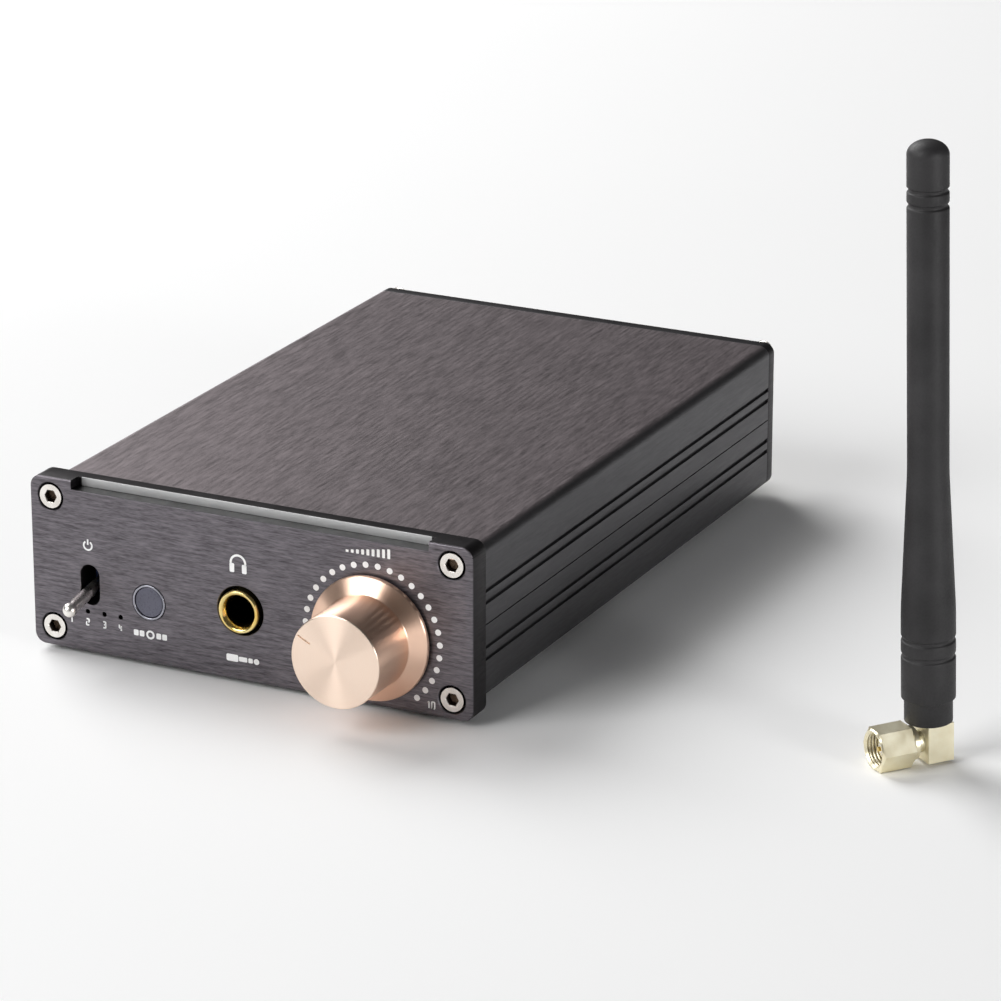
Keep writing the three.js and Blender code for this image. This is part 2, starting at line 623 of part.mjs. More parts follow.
// USB socket: a steel shell with a tongue in its mouth.
const usbBody = join(
  cut(
    boxAt(USB_X, SOCKET_Z, [12, 11.2], [SOCKET_BACK, REAR_FACE + 0.6]),
    boxAt(USB_X, SOCKET_Z, [8.6, 7.9], [REAR_FACE - 8.5, REAR_FACE + 1]),
  ),
  boxAt(USB_X, SOCKET_Z, [5.7, 3.2], [REAR_FACE - 9, REAR_FACE - 0.6]),
);
add('usb_socket', usbBody, FINISHES.can);

// Power inlet: a block with a round nose in the panel and a contact pin.
const dcBody = join(
  cut(
    join(
      box([DC_X - 4.5, DC_X + 4.5], [SOCKET_BACK, SOCKET_SEAT], [ON_BOARD, SOCKET_Z + 5.4]),
      rodY(4.1, [SOCKET_SEAT - 1, REAR_FACE + 0.5], DC_X, SOCKET_Z, 28),
    ),
    rodY(3.1, [REAR_FACE - 9, REAR_FACE + 1], DC_X, SOCKET_Z, 24),
  ),
  rodY(1.05, [REAR_FACE - 9.5, REAR_FACE - 0.4], DC_X, SOCKET_Z, 12),
);
add('dc_inlet', dcBody, FINISHES.blackPlastic);

// Antenna jack: a threaded barrel held by a hexagon inside the panel and a nut outside it.
const PORT_START = SHELL_REAR - 7.2;
const PORT_END = REAR_FACE + 10;
const antennaJack = cut(
  join(
    rodY(3.1, [PORT_START, PORT_END], ANTENNA_JACK_X, ANTENNA_JACK_Z, 28),
    hexBarY([PORT_START + 4, SHELL_REAR - CLEAR], ANTENNA_JACK_X, ANTENNA_JACK_Z),
  ),
  rodY(0.65, [PORT_END - 4, PORT_END + 1], ANTENNA_JACK_X, ANTENNA_JACK_Z, 10),
);
add('antenna_jack', antennaJack, FINISHES.paleGold);

const jackNut = cut(
  hexBarY([REAR_FACE + CLEAR, REAR_FACE + 2.3], ANTENNA_JACK_X, ANTENNA_JACK_Z),
  rodY(3.2, [REAR_FACE - 1, REAR_FACE + 4], ANTENNA_JACK_X, ANTENNA_JACK_Z, 28),
);
add('antenna_jack_nut', jackNut, FINISHES.paleGold);

// Pigtail: a thin coaxial lead from the jack down to the bluetooth module.
const pigtailPath = new THREE.CatmullRomCurve3([
  new THREE.Vector3(ANTENNA_JACK_X, PORT_START - 0.3, ANTENNA_JACK_Z),
  new THREE.Vector3(ANTENNA_JACK_X, 58, ANTENNA_JACK_Z - 0.5),
  new THREE.Vector3(38, 52, 15),
  new THREE.Vector3(33, 48, 9.6),
  new THREE.Vector3(30.5, 44.5, 8.6),
]);
const pigtailSection = new THREE.Shape().absarc(0, 0, 0.6, 0, 2 * Math.PI);
const pigtail = new THREE.ExtrudeGeometry(pigtailSection, {
  steps: 16, curveSegments: 4, bevelEnabled: false, extrudePath: pigtailPath,
});
add('antenna_pigtail', solid(pigtail), FINISHES.chip);

// Antenna -------------------------------------------------------------------------------------

const antenna = new THREE.Group();
antenna.position.set(ANTENNA_X, ANTENNA_Y, ANTENNA_LIFT - FOOT_HEIGHT);
antenna.rotation.z = THREE.MathUtils.degToRad(ANTENNA_TURN);
const leanLine = THREE.MathUtils.degToRad(ANTENNA_LEAN_LINE);
antenna.rotateOnWorldAxis(
  new THREE.Vector3(Math.sin(leanLine), -Math.cos(leanLine), 0),
  THREE.MathUtils.degToRad(ANTENNA_LEAN),
);
receiver.add(antenna);

// A pair of shallow rings cut in the whip: [radius, z] pairs, upwards from the lower ring.
function ringPair(low, high, radius, depth) {
  const half = 0.55;
  return [low, high].flatMap((z) => [
    [radius, z - half], [radius - depth, z - half / 2], [radius - depth, z + half / 2], [radius, z + half],
  ]);
}

// The whip's profile: ferrule, thick base with two rings, a long taper to the rod, two rings
// near its top, and a dome.
const FERRULE_TOP = 12.9;
const TAPER_START = 31;
const TAPER_END = 58.7;
const whipProfile = [
  [0, ELBOW_TOP + 0.1], [FERRULE_RADIUS, ELBOW_TOP + 0.1], [FERRULE_RADIUS, FERRULE_TOP],
  [WHIP_BASE_RADIUS, FERRULE_TOP], ...ringPair(21.8, 25.2, WHIP_BASE_RADIUS, 0.3),
  [WHIP_BASE_RADIUS, TAPER_START], [WHIP_RADIUS, TAPER_END],
  ...ringPair(110.9, 113.8, WHIP_RADIUS, 0.32),
];
const domeHeight = 2.8;
const domeSteps = 6;
for (let i = 0; i <= domeSteps; i += 1) {
  const angle = (i / domeSteps) * (Math.PI / 2);
  const radius = i === domeSteps ? 0 : WHIP_RADIUS * Math.cos(angle);
  whipProfile.push([radius, ANTENNA_HEIGHT - domeHeight * (1 - Math.sin(angle))]);
}
add('antenna_whip', turnedZ(whipProfile, 0, 0, 32), FINISHES.rubber, antenna);

// The connector, measured along its axis from below the whip.
const NECK_RADIUS = 2.2;
const NUT_START = 3.3;
const NUT_HEX_START = 4.6;
const NUT_BORE_START = 5.6;
const NUT_END = 12;
const NUT_SHOULDER_RADIUS = 3.4;
const COLLAR_INNER = 5.9;
const COLLAR_OUTER = 7;
const SLEEVE_END = 9.8;

// Elbow: a block with a neck, a collar that the nut turns behind, and a contact sleeve.
const elbow = cut(
  join(
    box([-ELBOW_HALF_WIDTH, ELBOW_HALF_WIDTH], [ELBOW_FRONT, ELBOW_BACK], [ELBOW_BOTTOM, ELBOW_TOP]),
    rodY(NECK_RADIUS, [-COLLAR_OUTER + 0.5, ELBOW_FRONT + 0.8], 0, CONNECTOR_Z),
    rodY(3, [-COLLAR_OUTER, -COLLAR_INNER], 0, CONNECTOR_Z),
    rodY(2.35, [-SLEEVE_END, -COLLAR_OUTER + 0.5], 0, CONNECTOR_Z),
  ),
  rodY(2.05, [-SLEEVE_END - 1, -COLLAR_OUTER - 0.1], 0, CONNECTOR_Z),
);
add('antenna_elbow', elbow, FINISHES.paleGold, antenna);

const couplingNut = cut(
  join(
    hexBarY([-NUT_END, -NUT_HEX_START], 0, CONNECTOR_Z),
    rodY(NUT_SHOULDER_RADIUS, [-NUT_HEX_START - 0.5, -NUT_START], 0, CONNECTOR_Z, 28),
  ),
  rodY(3.3, [-NUT_END - 1, -NUT_BORE_START], 0, CONNECTOR_Z, 28),
  rodY(NECK_RADIUS + 0.3, [-NUT_END, -NUT_START + 1], 0, CONNECTOR_Z, 28),
);
add('antenna_coupling_nut', couplingNut, FINISHES.paleGold, antenna);

const pinRadius = 0.46;
const insulator = cut(
  rodY(1.95, [-SLEEVE_END + 0.1, -COLLAR_OUTER - 0.2], 0, CONNECTOR_Z),
  rodY(pinRadius + 0.06, [-SLEEVE_END - 1, -COLLAR_OUTER], 0, CONNECTOR_Z, 14),
);
add('antenna_insulator', insulator, FINISHES.white, antenna);
const pin = rodY(pinRadius, [-SLEEVE_END - 1.2, -COLLAR_OUTER - 0.3], 0, CONNECTOR_Z, 12);
add('antenna_centre_pin', pin, FINISHES.gold, antenna);

export default receiver;
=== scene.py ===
# %% [markdown]
# # A bluetooth audio receiver and its antenna
# The receiver is a black anodised aluminium box: two extruded shells between a thick front
# panel and a thin rear panel. In front it has a toggle, a button, a headphone jack and a
# spun rose-gold knob. Beside it stands its rubber whip antenna, unplugged.
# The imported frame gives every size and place, and each cell reads what it needs from there.

# %% Load the frame
import json
import math
import bmesh
import bpy
import numpy as np
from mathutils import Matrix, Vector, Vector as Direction

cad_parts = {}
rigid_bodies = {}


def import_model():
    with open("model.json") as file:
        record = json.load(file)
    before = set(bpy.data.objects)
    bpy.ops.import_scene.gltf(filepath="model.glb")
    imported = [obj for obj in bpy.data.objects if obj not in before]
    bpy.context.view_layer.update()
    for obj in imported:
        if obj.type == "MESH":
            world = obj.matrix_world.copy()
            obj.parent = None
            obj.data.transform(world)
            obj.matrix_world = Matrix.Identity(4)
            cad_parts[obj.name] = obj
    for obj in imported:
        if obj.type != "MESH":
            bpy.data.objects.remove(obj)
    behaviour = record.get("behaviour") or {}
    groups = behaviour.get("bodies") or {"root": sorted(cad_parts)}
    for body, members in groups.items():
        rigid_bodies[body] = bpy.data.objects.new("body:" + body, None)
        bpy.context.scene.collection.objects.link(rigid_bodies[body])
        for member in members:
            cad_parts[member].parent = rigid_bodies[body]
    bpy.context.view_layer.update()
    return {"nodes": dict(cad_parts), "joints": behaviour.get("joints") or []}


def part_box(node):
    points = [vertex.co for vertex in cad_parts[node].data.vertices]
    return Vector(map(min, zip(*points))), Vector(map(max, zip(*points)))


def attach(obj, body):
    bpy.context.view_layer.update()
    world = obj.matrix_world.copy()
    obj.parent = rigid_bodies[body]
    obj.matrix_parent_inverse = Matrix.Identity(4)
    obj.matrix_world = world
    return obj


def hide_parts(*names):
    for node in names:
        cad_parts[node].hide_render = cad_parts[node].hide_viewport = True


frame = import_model()
MM = 0.001
joints = {joint["name"]: joint for joint in frame["joints"]}

# %% [markdown]
# ## The camera
# A long lens a little under a metre away keeps the box nearly free of perspective. It stands
# to the right and above. The view point is between the knob and the antenna, given here as
# distances from the front panel's lower edge.

# %% Camera
AZIMUTH, ELEVATION = math.radians(26.28), math.radians(19.64)
VIEW_DISTANCE = 901.43 * MM
LENS = 169.18
panel_low, panel_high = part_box("front_panel")
target = np.array([55.98 * MM, panel_low.y, panel_low.z + 47.3 * MM])
back = np.array([
    math.sin(AZIMUTH) * math.cos(ELEVATION),
    -math.cos(AZIMUTH) * math.cos(ELEVATION),
    math.sin(ELEVATION),
])
camera_data = bpy.data.cameras.new("camera")
camera_data.lens = LENS
camera = bpy.data.objects.new("camera", camera_data)
bpy.context.collection.objects.link(camera)
camera.location = target + back * VIEW_DISTANCE
camera.rotation_euler = (math.pi / 2 - ELEVATION, 0, AZIMUTH)
bpy.context.scene.camera = camera
print("camera at", [round(c / MM) for c in camera.location], "mm")

# %% [markdown]
# ## Making surfaces
# Most pieces here are turned, extruded or stacked, so three helpers make nearly all of them.
# `spin` carries a profile round an axis, `stack` joins outlines that lie one above the
# other, and `fillet` softens a profile's corners, since no real edge is perfectly sharp.

# %% A mesh from arrays
def as_piece(name, points, faces, smooth_below=32, shade=None):
    """A mesh object from points and faces, doubles merged and faces turned outwards.
    Edges that bend more than smooth_below degrees stay crisp. shade, one number for each
    point, is kept as an attribute that the finishes read as painted shade in recesses."""
    mesh = bpy.data.meshes.new(name)
    mesh.from_pydata(np.asarray(points).tolist(), [], faces)
    if shade is not None:
        mesh.attributes.new("hollow", "FLOAT", "POINT").data.foreach_set("value", shade)
    shape = bmesh.new()
    shape.from_mesh(mesh)
    bmesh.ops.remove_doubles(shape, verts=shape.verts, dist=1e-7)
    bmesh.ops.recalc_face_normals(shape, faces=shape.faces)
    shape.to_mesh(mesh)
    shape.free()
    mesh.shade_smooth()
    mesh.set_sharp_from_angle(angle=math.radians(smooth_below))
    piece = bpy.data.objects.new(name, mesh)
    bpy.context.collection.objects.link(piece)
    return piece


def grid_faces(rows, columns):
    """Quads between neighbouring rows of a grid whose columns close on themselves."""
    row, column = np.meshgrid(np.arange(rows - 1), np.arange(columns), indexing="ij")
    here, beside = row * columns + column, row * columns + (column + 1) % columns
    quads = np.stack([here, beside, beside + columns, here + columns], axis=-1)
    return quads.reshape(-1, 4).tolist()


def fillet(points, radius, steps):
    """Softens a line's corners but not its ends: each corner P gives way to a short curve,
    B(t) = (1-t)^2 A + 2t(1-t) P + t^2 C, with A and C a radius away on the line's sides."""
    points = np.asarray(points, float)
    before, after = np.roll(points, 1, axis=0), np.roll(points, -1, axis=0)
    t = np.linspace(0, 1, steps + 1)[:, None]
    out = []
    for i, (a, p, c) in enumerate(zip(before, points, after)):
        if i in (0, len(points) - 1):
            out.append(p[None])
            continue
        to_a, to_c = a - p, c - p
        long_a, long_c = np.linalg.norm(to_a), np.linalg.norm(to_c)
        reach = min(radius, 0.49 * long_a, 0.49 * long_c)
        start, end = p + to_a / long_a * reach, p + to_c / long_c * reach
        out.append((1 - t) ** 2 * start + 2 * t * (1 - t) * p + t**2 * end)
    return np.vstack(out)


# %% Turned and stacked shapes
def cross_axes(axis):
    """Two directions square to an axis and to each other: the first one level."""
    axis = np.asarray(axis, float) / np.linalg.norm(axis)
    level = np.cross([0, 0, 1], axis)
    if np.linalg.norm(level) < 1e-6:
        level = np.array([1.0, 0, 0])
    level /= np.linalg.norm(level)
    return axis, level, np.cross(axis, level)


def spin(name, profile, centre, axis=(0, 1, 0), sides=96, hexness=None, hollow=None, smooth_below=32):
    """A turned shape: point = centre + along * axis + radius * (cos a * u + sin a * v).
    hexness blends each ring from a circle, 0, to a hexagon of that inradius, 1, and the recess
    weights say how much painted shade each ring gets for lying in a recess."""
    profile = np.asarray(profile, float)
    axis, u, v = cross_axes(axis)
    angle = np.arange(sides) / sides * 2 * np.pi
    hexagon = 1 / np.cos((angle % (np.pi / 3)) - np.pi / 6)
    blend = np.zeros(len(profile)) if hexness is None else np.asarray(hexness, float)
    stretch = 1 + blend[:, None] * (hexagon - 1)
    radius = profile[:, :1] * stretch
    ring = np.cos(angle)[:, None] * u + np.sin(angle)[:, None] * v
    points = np.asarray(centre) + profile[:, 1, None, None] * axis + radius[..., None] * ring
    faces = grid_faces(len(profile), sides)
    shade = None if hollow is None else np.repeat(np.asarray(hollow, float), sides)
    return as_piece(name, points.reshape(-1, 3), faces, smooth_below, shade)


def stack(name, outlines, smooth_below=32):
    """A closed shape through outlines of equal length, with a flat cap on the first and last."""
    rows, columns = len(outlines), len(outlines[0])
    faces = grid_faces(rows, columns)
    faces += [list(range(columns)), list(range((rows - 1) * columns, rows * columns))]
    return as_piece(name, np.concatenate(outlines), faces, smooth_below)


def rounded_outline(width, height, radius, steps=10):
    """A rectangle with quarter-circle corners, as x, z pairs about the middle."""
    angle = np.linspace(0, np.pi / 2, steps + 1)
    corners = []
    for quarter, (sx, sz) in enumerate([(1, 1), (-1, 1), (-1, -1), (1, -1)]):
        turned = angle + quarter * np.pi / 2
        centre = np.array([sx * (width / 2 - radius), sz * (height / 2 - radius)])
        corners.append(centre + radius * np.stack([np.cos(turned), np.sin(turned)], axis=1))
    return np.vstack(corners)


def at_depth(outline, y, x=0.0, z=0.0):
    """An outline of x, z pairs, set upright at the depth y."""
    return np.stack([outline[:, 0] + x, np.full(len(outline), y), outline[:, 1] + z], axis=1)


def plate(name, width, height, radius, depth, middle, edge):
    """A thick plate with its rims rounded by a quarter circle of radius edge."""
    turn = np.linspace(0, np.pi / 2, 5)
    inset = edge * (1 - np.sin(turn))
    lift = edge * (1 - np.cos(turn))
    depths = np.concatenate([depth[0] + lift, depth[1] - lift[::-1]])
    insets = np.concatenate([inset, inset[::-1]])
    outlines = [
        at_depth(rounded_outline(width - 2 * i, height - 2 * i, radius - i), y, *middle)
        for y, i in zip(depths, insets)
    ]
    return stack(name, outlines)


# %% [markdown]
# Holes are cut with exact booleans. Each cutter flares at the face, which leaves the small
# chamfer that a countersink leaves, and a chamfer is what catches the light.

# %% Cutting holes
def carve(piece, cutters, smooth_below=24):
    """Takes the cutters out of a piece in one exact boolean and applies it."""
    tools = bpy.data.collections.new("cutters")
    for cutter in cutters:
        bpy.context.collection.objects.unlink(cutter)
        tools.objects.link(cutter)
    cut = piece.modifiers.new("cut", "BOOLEAN")
    cut.operation, cut.solver = "DIFFERENCE", "EXACT"
    cut.operand_type, cut.collection = "COLLECTION", tools
    graph = bpy.context.evaluated_depsgraph_get()
    carved = bpy.data.meshes.new_from_object(piece.evaluated_get(graph))
    piece.modifiers.clear()
    piece.data = carved
    carved.shade_smooth()
    carved.set_sharp_from_angle(angle=math.radians(smooth_below))
    for cutter in list(tools.objects):
        bpy.data.objects.remove(cutter)
    bpy.data.collections.remove(tools)
    return piece


def drill(radius, face, deep, x, z, flare=0.15 * MM, outward=-1, sides=72):
    """A round cutter from outside a face to the depth deep, opening out at the face."""
    profile = [
        [0, face + outward * 2 * MM],
        [radius + flare, face + outward * 2 * MM],
        [radius + flare, face],
        [radius, face - outward * flare],
        [radius, deep],
        [0, deep],
    ]
    return spin("drill", profile, (x, 0, z), sides=sides)


# %% Placing a finished piece
def place(piece, body, slot, material, *nodes):
    """Makes a piece ride on a body, stand for CAD nodes and wear a material."""
    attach(piece, body)
    if nodes:
        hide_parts(*nodes)
    piece.data.materials.clear()
    piece.data.materials.append(material)
    print(piece.name, len(piece.data.polygons), "faces on", body)
    return piece


def middle_of(node):
    """The centre of a CAD node's box."""
    low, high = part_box(node)
    return np.array((low + high) / 2)


def axis_of(node):
    """A slim turned CAD node's axis: the direction in which its points spread most, and the
    lower end of the line through their middle."""
    mesh = frame["nodes"][node].data
    points = np.empty(len(mesh.vertices) * 3)
    mesh.vertices.foreach_get("co", points)
    points = np.unique(points.reshape(-1, 3).round(7), axis=0)
    middle = points.mean(axis=0)
    direction = np.linalg.svd(points - middle, full_matrices=False)[2][0]
    direction *= np.sign(direction[2])
    along = (points - middle) @ direction
    return middle + direction * along.min(), direction, along.max() - along.min()


# %% [markdown]
# ## Shared surface effects
# Three effects come back in most finishes, so each is a node group. Brushing is noise drawn
# out along one direction: very fine across the strokes and long along them. Mottle is slow,
# soft noise, which keeps a large face from looking like paper. Edge wear compares the
# true normal with one rounded over a small radius, so it is only bright at edges.

# %% Node helpers
def node(tree, kind, **values):
    """A shader node with some of its settings or input values set by name."""
    made = tree.nodes.new(kind)
    for name, value in values.items():
        if name in made.inputs:
            made.inputs[name].default_value = value
        elif name.replace("_", " ") in made.inputs:
            made.inputs[name.replace("_", " ")].default_value = value
        else:
            setattr(made, name, value)
    return made


def new_group(name, inputs, outputs):
    """An empty node group: inputs and outputs are name, socket type and default."""
    group = bpy.data.node_groups.new(name, "ShaderNodeTree")
    for direction, sockets in (("INPUT", inputs), ("OUTPUT", outputs)):
        for label, kind, default in sockets:
            socket = group.interface.new_socket(label, in_out=direction, socket_type=kind)
            if default is not None:
                socket.default_value = default
    return group, group.nodes.new("NodeGroupInput"), group.nodes.new("NodeGroupOutput")


def math_node(tree, operation, a, b=None):
    """A maths node; a and b are numbers or sockets."""
    made = node(tree, "ShaderNodeMath", operation=operation)
    for slot, value in enumerate((a, b)):
        if value is None:
            continue
        if isinstance(value, (int, float)):
            made.inputs[slot].default_value = value
        else:
            tree.links.new(value, made.inputs[slot])
    return made.outputs[0]


def range_node(tree, value, low, high, to_low, to_high):
    """Maps a value from one range to another and clamps it."""
    made = node(tree, "ShaderNodeMapRange")
    tree.links.new(value, made.inputs["Value"])
    for label, number in zip(("From Min", "From Max", "To Min", "To Max"), (low, high, to_low, to_high)):
        made.inputs[label].default_value = number
    return made.outputs["Result"]


def mix_colour(tree, factor, a, b):
    """Mixes two colours; factor, a and b are values or sockets."""
    made = node(tree, "ShaderNodeMix", data_type="RGBA")
    for slot, value in ((0, factor), (6, a), (7, b)):
        if hasattr(value, "is_linked"):
            tree.links.new(value, made.inputs[slot])
        else:
            made.inputs[slot].default_value = value
    return made.outputs[2]


# %% Effect groups
VECTOR, NUMBER = "NodeSocketVector", "NodeSocketFloat"


def brushing_group():
    """Strokes: noise on a position that is scaled far more across the strokes than along
    them, at two finenesses, and added with the finer one weaker."""
    group, given, out = new_group(
        "brushing",
        [("Position", VECTOR, None), ("Stroke Scale", VECTOR, (150.0, 150.0, 9000.0))],
        [("Strokes", NUMBER, None)],
    )
    stretch = node(group, "ShaderNodeVectorMath", operation="MULTIPLY")
    group.links.new(given.outputs["Position"], stretch.inputs[0])
    group.links.new(given.outputs["Stroke Scale"], stretch.inputs[1])
    coarse = node(group, "ShaderNodeTexNoise", Scale=0.35, Detail=2.0)
    fine = node(group, "ShaderNodeTexNoise", Scale=1.3, Detail=3.0)
    for noise in (coarse, fine):
        group.links.new(stretch.outputs[0], noise.inputs["Vector"])
    coarse_part = math_node(group, "MULTIPLY", coarse.outputs[0], 0.55)
    fine_part = math_node(group, "MULTIPLY", fine.outputs[0], 0.45)
    total = math_node(group, "ADD", coarse_part, fine_part)
    group.links.new(range_node(group, total, 0.3, 0.7, 0, 1), out.inputs["Strokes"])
    return group


def mottle_group():
    """Slow cloudiness: one soft noise, spread to the whole range."""
    group, given, out = new_group(
        "mottle",
        [("Position", VECTOR, None), ("Size", NUMBER, 60.0)],
        [("Cloud", NUMBER, None)],
    )
    noise = node(group, "ShaderNodeTexNoise", Detail=3.0, Roughness=0.55)
    group.links.new(given.outputs["Position"], noise.inputs["Vector"])
    group.links.new(given.outputs["Size"], noise.inputs["Scale"])
    group.links.new(range_node(group, noise.outputs[0], 0.3, 0.7, 0, 1), out.inputs["Cloud"])
    return group


def edge_group():
    """Edge wear: one minus the dot product of the true normal and a rounded one, broken up
    by noise so that the worn line is uneven."""
    group, given, out = new_group(
        "edge_wear",
        [("Position", VECTOR, None), ("Width", NUMBER, 0.0003)],
        [("Wear", NUMBER, None)],
    )
    rounded = node(group, "ShaderNodeBevel", samples=6)
    group.links.new(given.outputs["Width"], rounded.inputs["Radius"])
    true = node(group, "ShaderNodeNewGeometry")
    compare = node(group, "ShaderNodeVectorMath", operation="DOT_PRODUCT")
    group.links.new(rounded.outputs[0], compare.inputs[0])
    group.links.new(true.outputs["Normal"], compare.inputs[1])
    bend = math_node(group, "SUBTRACT", 1.0, compare.outputs["Value"])
    noise = node(group, "ShaderNodeTexNoise", Scale=900.0, Detail=2.0)
    group.links.new(given.outputs["Position"], noise.inputs["Vector"])
    broken = range_node(group, noise.outputs[0], 0.35, 0.65, 0.35, 1)
    edge = range_node(group, bend, 0.02, 0.16, 0, 1)
    group.links.new(math_node(group, "MULTIPLY", edge, broken), out.inputs["Wear"])
    return group


BRUSHING, MOTTLE, EDGE = brushing_group(), mottle_group(), edge_group()
print("effects:", BRUSHING.name, MOTTLE.name, EDGE.name)


# %% [markdown]
# ## Finishes
# Every material starts from the same three parts: a Principled shader, the position on the
# object, and a Bump. `Finish` keeps them together, so each finish below only says what is
# particular to it.

# %% The start of a material
class Finish:
    """A material with its shader and position, and short ways to add the shared effects."""

    def __init__(self, name, **values):
        self.material = bpy.data.materials.new(name)
        self.material.use_nodes = True
        self.tree = self.material.node_tree
        self.shader = self.tree.nodes["Principled BSDF"]
        self.position = node(self.tree, "ShaderNodeTexCoord").outputs["Object"]
        for label, value in values.items():
            self.shader.inputs[label.replace("_", " ")].default_value = value

    def effect(self, group, output, **values):
        """The output of an effect group at this position."""
        made = node(self.tree, "ShaderNodeGroup", node_tree=group)
        self.tree.links.new(self.position, made.inputs["Position"])
        for label, value in values.items():
            made.inputs[label.replace("_", " ")].default_value = value
        return made.outputs[output]

    def axis(self, name):
        """One coordinate of the position, in metres."""
        parts = node(self.tree, "ShaderNodeSeparateXYZ")
        self.tree.links.new(self.position, parts.inputs[0])
        return parts.outputs[name]

    def set(self, label, socket):
        self.tree.links.new(socket, self.shader.inputs[label])

    def bump(self, height, strength, distance):
        made = node(self.tree, "ShaderNodeBump", Strength=strength, Distance=distance)
        self.tree.links.new(height, made.inputs["Height"])
        self.set("Normal", made.outputs["Normal"])


def grey(value):
    return (value, value, value, 1.0)


# %% [markdown]
# ### Anodised aluminium
# Brushed, etched and dyed aluminium is a dark metal with a silky sheen. The strokes run
# across the front panel and along the shells. The panel's front and the upper shell's top are
# painted lighter, as painted sheen, and the panel's machined edges and the shells' sides are
# painted darker and plainer, as painted shade.

# %% Anodised finishes
def anodised(name, light, dark, contrast, stroke_scale, lit_side_range, roughness, bare_wall_shaded_floor=None):
    """Dark metal, painted lighter on one side as painted sheen and darker elsewhere as painted
    shade, with strokes that differ from the lighter colour by the share called contrast. The side
    is given as a coordinate, the value where the lighter colour starts and the value where it is
    full. The wall is given as the depth, lowest height and half length of a milled wall that
    shows bare metal; the floor in front of it is painted nearly black, as painted shade."""
    finish = Finish(name, Metallic=0.92, Roughness=roughness)
    tree = finish.tree
    strokes = finish.effect(BRUSHING, "Strokes", Stroke_Scale=stroke_scale)
    cloud = finish.effect(MOTTLE, "Cloud", Size=35.0)
    wear = finish.effect(EDGE, "Wear", Width=0.25 * MM)
    # The lit side is painted lighter, as painted sheen, and the rest darker, as painted shade.
    letter, start, full = lit_side_range
    lit_share = range_node(tree, finish.axis(letter), start, full, 0, 1)
    low, high = ([c * share for c in light[:3]] + [1] for share in (1 - contrast, 1 + contrast))
    tone = mix_colour(tree, strokes, low, high)
    cloudy = mix_colour(tree, math_node(tree, "MULTIPLY", cloud, 0.08), tone, dark)
    base = mix_colour(tree, lit_share, dark, cloudy)
    worn = mix_colour(tree, math_node(tree, "MULTIPLY", wear, 0.35), base, grey(0.3))
    if bare_wall_shaded_floor:
        depth, floor_height, half = bare_wall_shaded_floor
        behind = math_node(tree, "ABSOLUTE", math_node(tree, "SUBTRACT", finish.axis("Y"), depth))
        sideways = math_node(tree, "ABSOLUTE", finish.axis("X"))
        on_wall = math_node(
            tree, "MULTIPLY",
            range_node(tree, behind, 0.05 * MM, 0.12 * MM, 1, 0),
            range_node(tree, sideways, half - 0.1 * MM, half, 1, 0),
        )
        above = range_node(tree, finish.axis("Z"), floor_height, floor_height + 0.12 * MM, 0, 1)
        on_wall = math_node(tree, "MULTIPLY", on_wall, above)
        # The rebate's floor is painted nearly black, as painted shade under its wall.
        off_floor = math_node(tree, "ABSOLUTE", math_node(tree, "SUBTRACT", finish.axis("Z"), floor_height))
        rebate_floor_shade = math_node(
            tree, "MULTIPLY",
            range_node(tree, off_floor, 0.05 * MM, 0.1 * MM, 1, 0),
            range_node(tree, finish.axis("Y"), depth - 2.95 * MM, depth - 2.85 * MM, 0, 1),
        )
        worn = mix_colour(tree, rebate_floor_shade, worn, grey(0.012))
        worn = mix_colour(tree, on_wall, worn, grey(0.62))
    finish.set("Base Color", worn)
    rough = range_node(tree, strokes, 0, 1, roughness - 0.07, roughness + 0.08)
    finish.set("Roughness", rough)
    finish.bump(strokes, 0.28, 0.012 * MM)
    return finish.material


panel_face = panel_low.y
REBATE = {"half": 40.45 * MM, "deep": 3 * MM, "high": 1.9 * MM, "chamfer": 0.12 * MM}
# The panel's front face is painted lighter, as painted sheen; its rims and hole walls are painted darker, as
# painted shade.
PANEL_BLACK = anodised(
    "panel_anodised", (0.158, 0.145, 0.160, 1), (0.030, 0.027, 0.029, 1), 0.62,
    (520.0, 520.0, 5200.0), ("Y", panel_face + 0.35 * MM, panel_face + 0.05 * MM), 0.42,
    (panel_face + REBATE["deep"], panel_high.z - REBATE["high"], REBATE["half"] - 0.8 * MM),
)
shell_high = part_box("upper_shell")[1]
# Only the upper shell's top is painted lighter, as painted sheen; the sides and the lower shell are painted
# darker, as painted shade.
SHELL_BLACK = anodised(
    "shell_anodised", (0.222, 0.192, 0.200, 1), (0.105, 0.103, 0.108, 1), 0.28,
    (5200.0, 420.0, 5200.0), ("Z", shell_high.z - 0.5 * MM, shell_high.z - 0.05 * MM), 0.46,
)


# %% [markdown]
# ### Spun copper-coloured knob
# The knob was turned on a lathe, so its strokes are circles, and light gathers in a bow tie
# across its face and in streaks along its barrel. The shader is anisotropic round the axis,
# rougher across the strokes than along them, and the fine ripple reads the radius.

# %% Spun finishes
knob_middle = middle_of("volume_knob")


